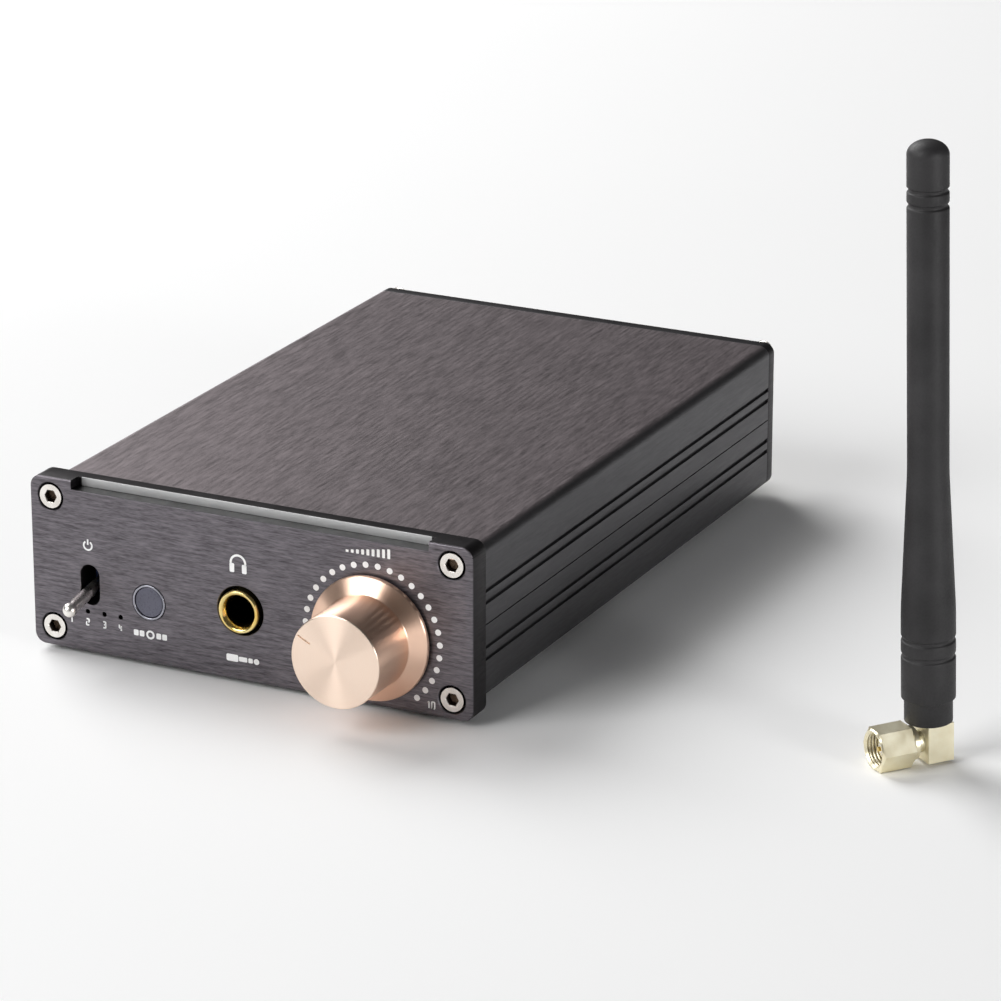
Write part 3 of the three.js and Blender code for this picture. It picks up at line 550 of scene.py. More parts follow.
def spun(name, light, dark, barrel, centre, face, roughness, anisotropy):
    """Turned metal about an axis along Y: rings of noise of the distance from the axis. The
    face is painted paler than the barrel behind it, as painted reflection."""
    finish = Finish(
        name, Metallic=1.0, Roughness=roughness, Anisotropic=anisotropy, Anisotropic_Rotation=0.25
    )
    tree = finish.tree
    across = math_node(tree, "SUBTRACT", finish.axis("X"), float(centre[0]))
    upward = math_node(tree, "SUBTRACT", finish.axis("Z"), float(centre[2]))
    squares = math_node(
        tree, "ADD", math_node(tree, "MULTIPLY", across, across), math_node(tree, "MULTIPLY", upward, upward)
    )
    radius = math_node(tree, "SQRT", squares)
    where = node(tree, "ShaderNodeCombineXYZ")
    tree.links.new(radius, where.inputs[0])
    tree.links.new(finish.axis("Y"), where.inputs[1])
    rings = node(tree, "ShaderNodeTexNoise", Scale=7500.0, Detail=2.0)
    tree.links.new(where.outputs[0], rings.inputs["Vector"])
    ring = range_node(tree, rings.outputs[0], 0.3, 0.7, 0, 1)
    cloud = finish.effect(MOTTLE, "Cloud", Size=120.0)
    # The face is painted paler than the barrel, as painted reflection.
    behind = range_node(tree, finish.axis("Y"), face + 0.15 * MM, face + 0.4 * MM, 0, 1)
    paler_face_tone = mix_colour(tree, behind, light, barrel)
    tone = mix_colour(tree, range_node(tree, ring, 0, 1, 0.6, 1), dark, paler_face_tone)
    finish.set("Base Color", mix_colour(tree, math_node(tree, "MULTIPLY", cloud, 0.12), tone, dark))
    finish.set("Roughness", range_node(tree, ring, 0, 1, roughness - 0.03, roughness + 0.03))
    tangent = node(tree, "ShaderNodeCombineXYZ")
    tree.links.new(upward, tangent.inputs[0])
    tree.links.new(math_node(tree, "MULTIPLY", across, -1.0), tangent.inputs[2])
    finish.set("Tangent", tangent.outputs[0])
    finish.bump(ring, 0.1, 0.004 * MM)
    return finish.material


KNOB_COPPER = spun(
    "knob_copper", (0.98, 0.82, 0.69, 1), (0.90, 0.62, 0.47, 1), (0.92, 0.64, 0.49, 1),
    knob_middle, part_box("volume_knob")[0].y, 0.32, 0.85
)


# %% Plated metals
# Dark brown painted shade for sockets, bores and thread grooves.
RECESS_SHADE_BROWN = (0.10, 0.07, 0.05, 1)


def plated(name, light, dark, roughness, metallic=1.0):
    """Bright plating: a little uneven in colour and polish, brighter where it is rubbed, and
    painted dark brown, as painted shade, where it lies in a recess."""
    finish = Finish(name, Metallic=metallic, Roughness=roughness)
    tree = finish.tree
    cloud = finish.effect(MOTTLE, "Cloud", Size=250.0)
    wear = finish.effect(EDGE, "Wear", Width=0.15 * MM)
    tone = mix_colour(tree, cloud, dark, light)
    rubbed = mix_colour(tree, math_node(tree, "MULTIPLY", wear, 0.3), tone, light)
    # Points weighted as lying in a recess are painted dark brown, as painted shade.
    hollow = node(tree, "ShaderNodeAttribute", attribute_name="hollow").outputs["Fac"]
    finish.set("Base Color", mix_colour(tree, hollow, rubbed, RECESS_SHADE_BROWN))
    finish.set("Roughness", range_node(tree, cloud, 0, 1, roughness - 0.05, roughness + 0.08))
    finish.bump(cloud, 0.12, 0.01 * MM)
    return finish.material


STEEL = plated("screw_steel", (0.93, 0.90, 0.86, 1), (0.72, 0.68, 0.63, 1), 0.26)
SATIN_GREY = plated("button_ring", (0.40, 0.40, 0.45, 1), (0.30, 0.30, 0.34, 1), 0.3)
JACK_GOLD = plated("jack_gold", (0.97, 0.82, 0.40, 1), (0.80, 0.56, 0.16, 1), 0.2)
PALE_GOLD = plated("connector_gold", (0.95, 0.90, 0.70, 1), (0.87, 0.78, 0.54, 1), 0.34, 0.82)
TINNED = plated("can_tinned", (0.66, 0.66, 0.64, 1), (0.50, 0.50, 0.48, 1), 0.34)


# %% [markdown]
# ### Rubber and plastics
# The whip is satin moulded rubber with a faint skin of fine grain. Moulded plastics differ
# in colour and gloss, so one function makes them all.

# %% Moulded finishes
def moulded(name, colour, roughness=0.45, grain=0.1, grain_scale=2600.0):
    """Moulded plastic or rubber: fine grain in the bump, slow change in colour and gloss."""
    finish = Finish(name, Roughness=roughness)
    tree = finish.tree
    cloud = finish.effect(MOTTLE, "Cloud", Size=90.0)
    wear = finish.effect(EDGE, "Wear", Width=0.2 * MM)
    lighter = [min(1.0, c * 1.35 + 0.01) for c in colour] + [1]
    darker = [c * 0.82 for c in colour] + [1]
    tone = mix_colour(tree, cloud, darker, lighter)
    worn = [min(1.0, c * 1.6 + 0.03) for c in colour] + [1]
    finish.set("Base Color", mix_colour(tree, math_node(tree, "MULTIPLY", wear, 0.4), tone, worn))
    speck = node(tree, "ShaderNodeTexNoise", Scale=grain_scale, Detail=2.0)
    tree.links.new(finish.position, speck.inputs["Vector"])
    finish.set("Roughness", range_node(tree, speck.outputs[0], 0.3, 0.7, roughness - 0.06, roughness + 0.08))
    finish.bump(speck.outputs[0], grain, 0.05 * MM)
    return finish.material


WHIP_RUBBER = moulded("whip_rubber", (0.010, 0.009, 0.010), 0.56, grain=0.12)
FOOT_RUBBER = moulded("foot_rubber", (0.02, 0.02, 0.02), 0.75, grain=0.3)
BLACK_PLASTIC = moulded("black_plastic", (0.012, 0.012, 0.013), 0.42)
CHIP_BLACK = moulded("chip_black", (0.022, 0.022, 0.024), 0.55, grain=0.25)
BUTTON_GREY = moulded("button_grey", (0.075, 0.075, 0.105), 0.30, grain=0.04)
SWITCH_BLUE = moulded("switch_blue", (0.02, 0.04, 0.13), 0.4)
SLEEVE_BLUE = moulded("sleeve_blue", (0.02, 0.035, 0.08), 0.3, grain=0.03)
LAMP_LENS = moulded("lamp_lens", (0.012, 0.013, 0.015), 0.15, grain=0.02)
INSULATOR = moulded("insulator_white", (0.82, 0.80, 0.76), 0.45, grain=0.05)
PHONO_WHITE = moulded("phono_white", (0.80, 0.80, 0.77), 0.35, grain=0.04)
PHONO_RED = moulded("phono_red", (0.45, 0.02, 0.02), 0.35, grain=0.04)
PHONO_ORANGE = moulded("phono_orange", (0.62, 0.16, 0.015), 0.35, grain=0.04)
BOARD_GREEN = moulded("board_green", (0.012, 0.085, 0.04), 0.4, grain=0.15, grain_scale=900.0)
PRINT_WHITE = moulded("print_white", (0.92, 0.92, 0.91), 0.6, grain=0.05)

# %% [markdown]
# ## Front panel
# A 6 mm plate with rounded rims. A long rebate is milled along its top front edge, stopped
# short of both ends. The plate is a stack of rounded rectangles, and every hole is a
# flared cutter, so holes are truly round and have chamfers.

# %% Front panel
SLOT_WIDTH, SLOT_HEIGHT = 4.4, 8.6
BUTTON_HOLE, JACK_HOLE, COLLAR_HOLE, NUT_RECESS = 3.8 * MM, 5.2 * MM, 3.7 * MM, 6.3 * MM
SHANK_HOLE, HEAD_RECESS, LAMP_HOLE = 1.55 * MM, 2.95 * MM, 0.5 * MM


def screw_places(prefix):
    return [middle_of(f"{prefix}_screw_{i}") for i in (1, 2, 3, 4)]


jack_middle = middle_of("headphone_jack_bushing")
bezel_middle = middle_of("button_bezel")
toggle_pivot = np.array(joints["power_toggle"]["pos_m"])
through = panel_high.y + 1 * MM


def rebate_cutter():
    """A bar whose section is the rebate, opened out by a chamfer at both of its edges."""
    back_wall, floor_z = panel_face + REBATE["deep"], panel_high.z - REBATE["high"]
    c, clear = REBATE["chamfer"], 1 * MM
    section = [
        (back_wall, floor_z), (back_wall, panel_high.z - c), (back_wall + c + clear, panel_high.z + clear),
        (panel_face - clear, panel_high.z + clear), (panel_face - clear, floor_z - c - clear),
        (panel_face + c, floor_z),
    ]
    ends = (-REBATE["half"], REBATE["half"])
    return stack("cutter", [[(x, y, z) for y, z in section] for x in ends])


def toggle_slot():
    """An upright slot with round ends, opened out at the face."""
    rings = [(panel_face - 1 * MM, 0.15), (panel_face, 0.15), (panel_face + 0.15 * MM, 0), (through, 0)]
    outlines = []
    for y, flare in rings:
        width, height = (SLOT_WIDTH + 2 * flare) * MM, (SLOT_HEIGHT + 2 * flare) * MM
        outline = rounded_outline(width, height, width / 2 - 1e-5, 16)
        outlines.append(at_depth(outline, y, toggle_pivot[0], toggle_pivot[2]))
    return stack("cutter", outlines)


panel_size = panel_high - panel_low
front_plate = plate(
    "front_plate", panel_size.x, panel_size.z, 2.4 * MM, (panel_low.y, panel_high.y),
    (0, (panel_low.z + panel_high.z) / 2), 0.35 * MM,
)
cutters = [rebate_cutter(), toggle_slot()]
cutters.append(drill(BUTTON_HOLE, panel_face, through, bezel_middle[0], bezel_middle[2]))
cutters.append(drill(JACK_HOLE, panel_face, through, jack_middle[0], jack_middle[2], sides=96))
cutters.append(drill(COLLAR_HOLE, panel_face, through, knob_middle[0], knob_middle[2]))
cutters.append(drill(NUT_RECESS, panel_face, panel_face + 2 * MM, knob_middle[0], knob_middle[2]))
for spot in screw_places("front"):
    cutters.append(drill(SHANK_HOLE, panel_face + 2 * MM, through, spot[0], spot[2], sides=32))
    cutters.append(drill(HEAD_RECESS, panel_face, panel_face + 2.9 * MM, spot[0], spot[2], 0.2 * MM))
for i in (1, 2, 3, 4):
    lamp = middle_of(f"indicator_led_{i}")
    cutters.append(drill(LAMP_HOLE, panel_face, through, lamp[0], lamp[2], 0.08 * MM, sides=32))
place(carve(front_plate, cutters), "case", "panel_black", PANEL_BLACK, "front_panel")

# %% [markdown]
# ## Shells
# Each shell is one extrusion: its section is drawn once and pushed from panel to panel.
# The sides have two pairs of fine grooves either side of the seam between the shells.

# %% Shells
SEAM = 0.15 * MM
GROOVES = {"offsets": (4.65 * MM, 7.15 * MM), "width": 0.9 * MM, "depth": 0.7 * MM}


def shell_section(outer, half, boss_z, seam_z, rail):
    """One shell's section as x, z pairs: the right half outside, the left half mirrored, and
    the inside back. outer is the z of its outer face, and rail the low and high z of the
    ledge over the board's edge, if it has one."""
    side = math.copysign(1, outer - seam_z)
    wall, corner, boss = 2 * MM, 2.2 * MM, 2.3 * MM
    reach = abs(outer - seam_z)
    groove = GROOVES["width"] / 2
    walk = [(half, SEAM)]
    for offset in GROOVES["offsets"]:
        walk += [(half, offset - groove), (half - GROOVES["depth"], offset - groove)]
        walk += [(half - GROOVES["depth"], offset + groove), (half, offset + groove)]
    turn = np.linspace(0, np.pi / 2, 13)
    walk = np.vstack([
        fillet(walk, 0.12 * MM, 3),
        np.stack([half - corner * (1 - np.cos(turn)), reach - corner * (1 - np.sin(turn))], axis=1),
    ])
    screw_x = abs(screw_places("front")[0][0])
    boss_v = abs(boss_z - seam_z)
    ledge = [seam_z - z for z in rail]
    inside = [(screw_x - boss, reach - wall), (screw_x - boss, boss_v - boss), (half - wall, boss_v - boss)]
    inside += [(half - wall - out, v) for out, v in zip((0, 1.6 * MM, 1.6 * MM, 0), np.repeat(ledge, 2))]
    inside = np.array(inside + [(half - wall, SEAM)])
    mirror = np.array([-1, 1])
    loop = np.vstack([walk, (walk * mirror)[::-1], (inside * mirror)[::-1], inside])
    return np.stack([loop[:, 0], seam_z + side * loop[:, 1]], axis=1)


seam_z = (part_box("lower_shell")[1].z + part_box("upper_shell")[0].z) / 2
board_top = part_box("main_board")[1].z
for name, outer_face, screw in (("upper", 1, 3), ("lower", 0, 1)):
    low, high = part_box(f"{name}_shell")
    boss_z = middle_of(f"front_screw_{screw}")[2]
    rail = [board_top + 0.1 * MM, board_top + 1.3 * MM] if name == "lower" else []
    section = shell_section((low, high)[outer_face].z, high.x, boss_z, seam_z, rail)
    ends = (low.y + 0.02 * MM, high.y - 0.02 * MM)
    shell = stack(f"{name}_case_shell", [at_depth(section, y) for y in ends], 25)
    if name == "lower":
        wide, deep = 6.15 * MM, 0.4 * MM
        seat = [(0, -1 * MM), (wide, -1 * MM), (wide, deep), (0, deep)]
        feet = [middle_of(f"rubber_foot_{i}") for i in (1, 2, 3, 4)]
        shell = carve(shell, [spin("cutter", seat, (x, y, 0), (0, 0, 1), 64) for x, y, _ in feet])
    place(shell, "case", "case_black", SHELL_BLACK, f"{name}_shell")

# %% [markdown]
# ## Screws
# A socket screw is turned, except for its hexagonal socket. Both are one surface here: the
# rings near the axis follow a hexagon and the outer ones a circle.

# %% Screws
def socket_screw(name, centre, outward, head, length, shank, total):
    """Rings from the middle of the socket out over the head and down the shank; along is
    counted inwards from the head's face."""
    flat, deep, soft = 1.2 * MM, 0.62 * length, 0.45 * MM
    # The last number of each ring is painted shade: full on the socket's floor, fading towards its mouth.
    rings = [
        (0, deep + 0.3 * MM, 1, 1), (flat * 0.98, deep, 1, 1), (flat, deep - 0.05 * MM, 1, 1),
        (flat, 0.2 * MM, 1, 0.8), (flat + 0.06 * MM, 0.06 * MM, 1, 0.3), (flat + 0.2 * MM, 0, 0.4, 0),
        (flat + 0.32 * MM, 0, 0, 0),
    ]
    turn = np.linspace(0, np.pi / 2, 7)
    rings += [(head - soft * np.cos(a), soft * (1 - np.sin(a)), 0, 0) for a in turn[::-1]]
    rings += [(head, length - 0.1 * MM, 0, 0), (head - 0.1 * MM, length, 0, 0), (shank, length, 0, 0)]
    rings += [(shank, total - 0.4 * MM, 0, 0), (shank - 0.4 * MM, total, 0, 0), (0, total, 0, 0)]
    radius_along, hexness, hollow = np.split(np.array(rings), [2, 3], axis=1)
    return spin(name, radius_along, centre, -np.array(outward), 72, hexness[:, 0], hollow[:, 0])


# For each panel: which way its screws face, and the radius and length of their heads.
HEADS = {"front": ((0, -1, 0), 2.5 * MM, 2.6 * MM), "rear": ((0, 1, 0), 2.1 * MM, 1.5 * MM)}
for prefix, (outward, head_radius, head_length) in HEADS.items():
    for i, spot in enumerate(screw_places(prefix), start=1):
        low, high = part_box(f"{prefix}_screw_{i}")
        face = low.y if prefix == "front" else high.y
        screw = socket_screw(
            f"{prefix}_cap_screw_{i}", (spot[0], face, spot[2]), outward, head_radius, head_length,
            1.45 * MM, high.y - low.y,
        )
        place(screw, "case", "screw_steel", STEEL, f"{prefix}_screw_{i}")

# %% [markdown]
# ## Volume knob
# A turned knob: a thin flange with a coned shoulder, a plain barrel and a flat face with a
# fine pointer line cut in it. It hides the nut under it in a hollow.

# %% Knob
knob_low, knob_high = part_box("volume_knob")
POINTER = math.radians(-61.8)


def knob_profile():
    """Radius and depth pairs from the middle of the face, over the rim, to the bore's end."""
    face, back = knob_low.y, knob_high.y
    shoulder = panel_face - 3.2 * MM
    outline = [
        (0, face), (9.65 * MM, face), (9.65 * MM, shoulder), (13 * MM, back - 1 * MM),
        (13 * MM, back), (7 * MM, back), (7 * MM, back - 1.2 * MM), (3.05 * MM, back - 1.2 * MM),
        (3.05 * MM, face + 2.5 * MM), (0, face + 2.5 * MM),
    ]
    return fillet(outline, 0.3 * MM, 5)


def pointer_cutter():
    """A thin bar laid along the pointer's direction, as deep as the line is cut."""
    direction = np.array([math.sin(POINTER), 0, math.cos(POINTER)])
    across = np.array([math.cos(POINTER), 0, -math.sin(POINTER)])
    centre = np.array([knob_middle[0], knob_low.y, knob_middle[2]])
    inner, outer, half = 6.2 * MM, 9.2 * MM, 0.17 * MM
    square = [(inner, -half), (outer, -half), (outer, half), (inner, half)]
    base = np.array([centre + direction * r + across * s for r, s in square])
    depth = np.array([0, 1, 0])
    return stack("cutter", [base - depth * 0.5 * MM, base + depth * 0.22 * MM])


knob = spin("knob", knob_profile(), (knob_middle[0], 0, knob_middle[2]), sides=192)
set_screw = middle_of("knob_set_screw")
toward = set_screw - np.array([knob_middle[0], set_screw[1], knob_middle[2]])
hole = spin(
    "cutter", [(0, 3 * MM), (1.5 * MM, 3 * MM), (1.5 * MM, 12 * MM), (0, 12 * MM)],
    (knob_middle[0], set_screw[1], knob_middle[2]), toward, 48,
)
place(carve(knob, [pointer_cutter(), hole], 28), "knob", "knob_copper", KNOB_COPPER, "volume_knob")

# %% [markdown]
# ## Headphone jack, button and toggle
# The jack's bushing is a gold tube whose lip opens in a soft funnel. The button is a smoked cap
# in a thin grey ring. The toggle's lever swells to a round tip and leans down at rest.

# %% Headphone jack
bush_low, bush_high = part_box("headphone_jack_bushing")
mouth, front = 3.2 * MM, bush_low.y
lip = [
    (mouth, bush_high.y), (mouth, front + 3 * MM), (mouth, front + 0.95 * MM),
    (3.7 * MM, front + 0.15 * MM), (4.05 * MM, front), (4.35 * MM, front),
    (4.55 * MM, front + 0.35 * MM), (4.55 * MM, bush_high.y),
]
lip = fillet(lip, 0.25 * MM, 4)
lip = np.vstack([lip, lip[:1]])
# Inside the bore, more than 2 mm in, the wall is painted dark, as painted shade.
inside = (lip[:, 0] < 3.25 * MM) & (lip[:, 1] > front + 2 * MM)
bushing = spin("jack_bushing", lip, (jack_middle[0], 0, jack_middle[2]), hollow=inside * 1.0)
place(bushing, "case", "jack_gold", JACK_GOLD, "headphone_jack_bushing")

# %% Button and its ring
cap_low, cap_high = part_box("mode_button")
button_axis = (bezel_middle[0], 0, bezel_middle[2])
cap_profile = [
    (0, cap_low.y + 0.06 * MM), (2.2 * MM, cap_low.y), (3.15 * MM, cap_low.y), (3.15 * MM, cap_low.y + 4 * MM),
    (3.6 * MM, cap_low.y + 4 * MM), (3.6 * MM, cap_low.y + 5 * MM), (1.5 * MM, cap_low.y + 5 * MM),
    (1.5 * MM, cap_high.y), (0, cap_high.y),
]
cap = spin("button_cap", fillet(cap_profile, 0.2 * MM, 4), button_axis)
place(cap, "button", "button_grey", BUTTON_GREY, "mode_button")

ring_low, ring_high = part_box("button_bezel")
ring_profile = [
    (3.27 * MM, ring_high.y), (3.27 * MM, ring_low.y), (3.75 * MM, ring_low.y), (3.75 * MM, ring_high.y),
    (3.27 * MM, ring_high.y),
]
ring = spin("button_ring", fillet(ring_profile, 0.2 * MM, 4), button_axis)
place(ring, "case", "screw_steel", SATIN_GREY, "button_bezel")

# %% Toggle lever
TOGGLE_TILT, TOGGLE_REACH = math.radians(10.2), 16.6 * MM


def lever_profile():
    """A pivot ball, a waist and a shaft that ends in a ball, along the lever."""
    ball = np.linspace(np.pi / 2, -1.0, 10)
    tip = np.linspace(-0.8, np.pi / 2, 14)
    tip_radius = 1.5 * MM
    return np.vstack([
        np.stack([1.5 * MM * np.cos(ball), -1.5 * MM * np.sin(ball)], axis=1),
        [(1.0 * MM, 2 * MM), (1.15 * MM, 4 * MM), (1.35 * MM, 12 * MM)],
        np.stack([tip_radius * np.cos(tip), TOGGLE_REACH - tip_radius * (1 - np.sin(tip))], axis=1),
    ])


lever_axis = (0, -math.cos(TOGGLE_TILT), -math.sin(TOGGLE_TILT))
lever = spin("lever", lever_profile(), toggle_pivot, lever_axis, 48)
place(lever, "toggle", "screw_steel", STEEL, "toggle_lever")

# %% [markdown]
# ## Printed marks
# The marks are white ink, about a twentieth of a millimetre thick. The dial's dots are
# discs on a circle. Lines and rings are flat ribbons that follow a path. Words are left
# out: plain signs and the dial's numbers take their places.

# %% Ink shapes
INK = 0.04 * MM
ink_parts = []


def ink_outline(outline):
    """Keeps one flat shape of ink, as x, z points, raised off the panel's face."""
    ink_parts.append(np.asarray(outline))


def disc(x, z, radius, sides=20):
    angle = np.arange(sides) / sides * 2 * np.pi
    ink_outline(np.stack([x + radius * np.cos(angle), z + radius * np.sin(angle)], axis=1))


def bar(x, z, width, height):
    ink_outline(rounded_outline(width, height, 0.2 * min(width, height), 2) + [x, z])


def ribbon(path, width):
    """A strip that follows a path: each point is moved half a width to both sides, square
    to the path's direction there."""
    path = np.asarray(path, float)
    along = np.gradient(path, axis=0)
    along /= np.linalg.norm(along, axis=1)[:, None]
    square = np.stack([-along[:, 1], along[:, 0]], axis=1) * width / 2
    ink_outline(np.vstack([path + square, (path - square)[::-1]]))


def arc(x, z, radius, start, end, steps=24):
    angle = np.radians(np.linspace(start, end, steps))
    return np.stack([x + radius * np.sin(angle), z + radius * np.cos(angle)], axis=1)


# %% The dial
DOTS, DOT_RADIUS, DOT_CIRCLE, DOT_SWEEP = 28, 0.65 * MM, 14.9 * MM, 138.9
for turn in np.radians(np.linspace(-DOT_SWEEP, DOT_SWEEP, DOTS)):
    dot_x, dot_z = knob_middle[0] + DOT_CIRCLE * np.sin(turn), knob_middle[2] + DOT_CIRCLE * np.cos(turn)
    disc(dot_x, dot_z, DOT_RADIUS)

BARS, BAR_PITCH, BARS_FOOT = 9, 1.15 * MM, 29.55 * MM
for i in range(BARS):
    height = (0.5 + 1.5 * i / (BARS - 1)) * MM
    bar_x = knob_middle[0] + (i - (BARS - 1) / 2) * BAR_PITCH - 0.8 * MM
    bar(bar_x, BARS_FOOT + height / 2, 0.62 * MM, height)

# %% Numbers: each digit is drawn as strokes in a box one wide and two high
STROKES = {
    "0": [[(0, 0), (1, 0), (1, 2), (0, 2), (0, 0), (0.6, 0)]],
    "1": [[(0.2, 1.6), (0.6, 2), (0.6, 0)]],
    "2": [[(0, 2), (1, 2), (1, 1), (0, 1), (0, 0), (1, 0)]],
    "3": [[(0, 2), (1, 2), (1, 1), (0.3, 1)], [(1, 1), (1, 0), (0, 0)]],
    "4": [[(0, 2), (0, 0.9), (1, 0.9)], [(0.75, 1.6), (0.75, 0)]],
}


def digit(letter, x, z, height, width):
    for stroke in STROKES[letter]:
        points = np.asarray(stroke, float) * [height * 0.45, height / 2] + [x - height * 0.1, z]
        ribbon(fillet(points, height * 0.12, 4), width)


for i in (1, 2, 3, 4):
    lamp = middle_of(f"indicator_led_{i}")
    digit(str(i), lamp[0] - 0.2 * MM, lamp[2] - 2.9 * MM, 1.3 * MM, 0.32 * MM)
for letter, aside in (("1", 12.2 * MM), ("0", 13.2 * MM), ("0", -12.7 * MM)):
    digit(letter, knob_middle[0] + aside, -0.2 * MM, 1.4 * MM, 0.3 * MM)

# %% Signs
x, z = toggle_pivot[0] - 0.2 * MM, toggle_pivot[2] + 8.5 * MM
ribbon(arc(x, z, 0.95 * MM, 35, 325, 30), 0.36 * MM)
bar(x, z + 0.75 * MM, 0.34 * MM, 1.2 * MM)

x, z = jack_middle[0] - 0.3 * MM, jack_middle[2] + 10.1 * MM
ribbon(arc(x, z, 1.65 * MM, -100, 100, 30), 0.46 * MM)
for side in (-1, 1):
    bar(x + side * 1.4 * MM, z - 1.1 * MM, 1.05 * MM, 1.9 * MM)

x, z = jack_middle[0] + 0.3 * MM, jack_middle[2] - 10.3 * MM
bar(x - 2.3 * MM, z, 2.7 * MM, 1.5 * MM)
bar(x + 0.15 * MM, z, 1.9 * MM, 1.0 * MM)
bar(x + 1.85 * MM, z, 1.0 * MM, 1.0 * MM)
disc(x + 3.2 * MM, z, 0.62 * MM)

x, z = bezel_middle[0] + 0.2 * MM, bezel_middle[2] - 6.9 * MM
ribbon(arc(x, z, 0.75 * MM, 0, 360, 32), 0.42 * MM)
for side in (-1, 1):
    for step in (1.95, 3.3):
        bar(x + side * step * MM, z, 1.1 * MM, 1.25 * MM)


def ink_mesh(name):
    """All the flat shapes as one mesh: each has a face, a back and a rim between them."""
    points, faces, first = [], [], 0
    for outline in ink_parts:
        count = len(outline)
        lo = at_depth(outline, panel_face - INK)
        hi = at_depth(outline, panel_face - 0.002 * MM)
        points += [lo, hi]
        near = np.arange(first, first + count)
        rim = np.stack([near, np.roll(near, -1), np.roll(near, -1) + count, near + count], axis=1)
        faces += [near.tolist(), (near + count).tolist()] + rim.tolist()
        first += 2 * count
    return as_piece(name, np.vstack(points), faces)


place(ink_mesh("printed_marks"), "case", "panel_black", PRINT_WHITE)

# %% [markdown]
# ## Antenna
# A rubber whip on a right-angle screw connector. The whip is turned: a ferrule, a thick base
# with two rings, a long flare and a slim rod with two more rings under its dome. The
# connector's nut turns freely, and shows its thread inside.

# %% Whip
whip_foot, whip_axis, whip_length = axis_of("antenna_whip")
WHIP_START, CONNECTOR_HEIGHT = 8.1 * MM, 4.05 * MM
THREAD_PITCH = 0.706 * MM
antenna_base = whip_foot - whip_axis * WHIP_START


def ring_pair(low, high, radius, depth):
    """Two shallow rings, as radius and height pairs."""
    half = 0.55 * MM
    steps = [(radius, -half), (radius - depth, -half / 2), (radius - depth, half / 2), (radius, half)]
    return [(r, z + s) for z in (low, high) for r, s in steps]


def whip_profile():
    """Radius and height pairs: the corners below and above the taper are fine, and those at
    its two ends are long, because the rubber flows from one width into the other."""
    rod, base, ferrule = 4 * MM, 5.27 * MM, 4.7 * MM
    start = [(0, WHIP_START), (ferrule, WHIP_START), (ferrule, 12.9 * MM), (base, 12.9 * MM)]
    start += ring_pair(21.8 * MM, 25.2 * MM, base, 0.3 * MM) + [(base, 26.5 * MM)]
    taper = [(base, 26.5 * MM), (base, 31 * MM), (rod, 58.7 * MM), (rod, 63 * MM)]
    upper = [(rod, 63 * MM)] + ring_pair(110.9 * MM, 113.8 * MM, rod, 0.32 * MM)
    top = WHIP_START + whip_length
    turn = np.linspace(0, np.pi / 2, 16)
    dome = np.stack([rod * np.cos(turn), top - 2.8 * MM * (1 - np.sin(turn))], axis=1)
    return np.vstack([
        fillet(start, 0.25 * MM, 4), fillet(taper, 4 * MM, 8), fillet(upper, 0.2 * MM, 3), dome
    ])


whip = spin("whip", whip_profile(), antenna_base, whip_axis, 96)
place(whip, "antenna", "whip_rubber", WHIP_RUBBER, "antenna_whip")

# %% Coupling nut
connector = np.array(joints["coupling_nut_turn"]["axis"])
connector_root = antenna_base + whip_axis * CONNECTOR_HEIGHT


def nut_rings(shoulder, start, end, flat, bore, thread_from, neck):
    """A hexagon nut's rings: a round shoulder, the outside with turned-down ends, then back
    through the threaded bore, whose ripple is a triangle wave of the distance along it."""
    chamfer, collar = 0.3 * MM, 3.4 * MM
    outside = [
        (neck, shoulder, 0, 0), (collar - 0.2 * MM, shoulder, 0, 0), (collar, shoulder + 0.2 * MM, 0, 0),
        (collar, start, 0, 0), (flat * 0.97, start, 0, 0), (flat, start + chamfer, 1, 0),
        (flat, end - chamfer, 1, 0), (flat * 0.97, end, 0, 0), (bore + 0.3 * MM, end, 0, 0),
    ]
    along = np.arange(end - 0.4 * MM, thread_from, -THREAD_PITCH / 4)
    wave = np.abs((along / THREAD_PITCH) % 1 - 0.5) * 2
    # The last number of each ring paints shade into the thread's grooves and the bore's inner end.
    thread = [(bore + 0.28 * MM * (w - 0.5), a, 0, 0.5 * w) for w, a in zip(wave, along)]
    inside = [(bore, thread_from - 0.1 * MM), (neck, thread_from - 0.1 * MM), (neck, shoulder)]
    return np.array(outside + thread + [(r, a, 0, 0.6) for r, a in inside])


rings = nut_rings(
    shoulder=3.3 * MM, start=4.6 * MM, end=12 * MM,
    flat=4 * MM, bore=3.3 * MM, thread_from=6 * MM, neck=2.5 * MM,
)
nut = spin("coupling_nut", rings[:, :2], connector_root, connector, 72, rings[:, 2], rings[:, 3], 15)
place(nut, "antenna_nut", "connector_gold", PALE_GOLD, "antenna_coupling_nut")


# %% Elbow: a block with soft edges
def soft_copy(node_name, name, width):
    """A CAD node's shape as a new piece: its triangles merged into faces, its edges rounded
    by a Bevel modifier."""
    mesh = frame["nodes"][node_name].data.copy()
    mesh.name = name
    shape = bmesh.new()
    shape.from_mesh(mesh)
    bmesh.ops.remove_doubles(shape, verts=shape.verts, dist=1e-6)
    bmesh.ops.dissolve_limit(
        shape, angle_limit=math.radians(1), verts=shape.verts, edges=shape.edges, delimit={"NORMAL"}
    )
    shape.to_mesh(mesh)
    shape.free()
    mesh.shade_smooth()
    mesh.set_sharp_from_angle(angle=math.radians(40))
    piece = bpy.data.objects.new(name, mesh)
    bpy.context.collection.objects.link(piece)
    soft = piece.modifiers.new("soft edges", "BEVEL")
    soft.width, soft.segments, soft.limit_method = width, 3, "ANGLE"
    soft.angle_limit, soft.use_clamp_overlap, soft.harden_normals = math.radians(40), True, True
    return piece


place(soft_copy("antenna_elbow", "elbow", 0.25 * MM), "antenna", "connector_gold", PALE_GOLD, "antenna_elbow")

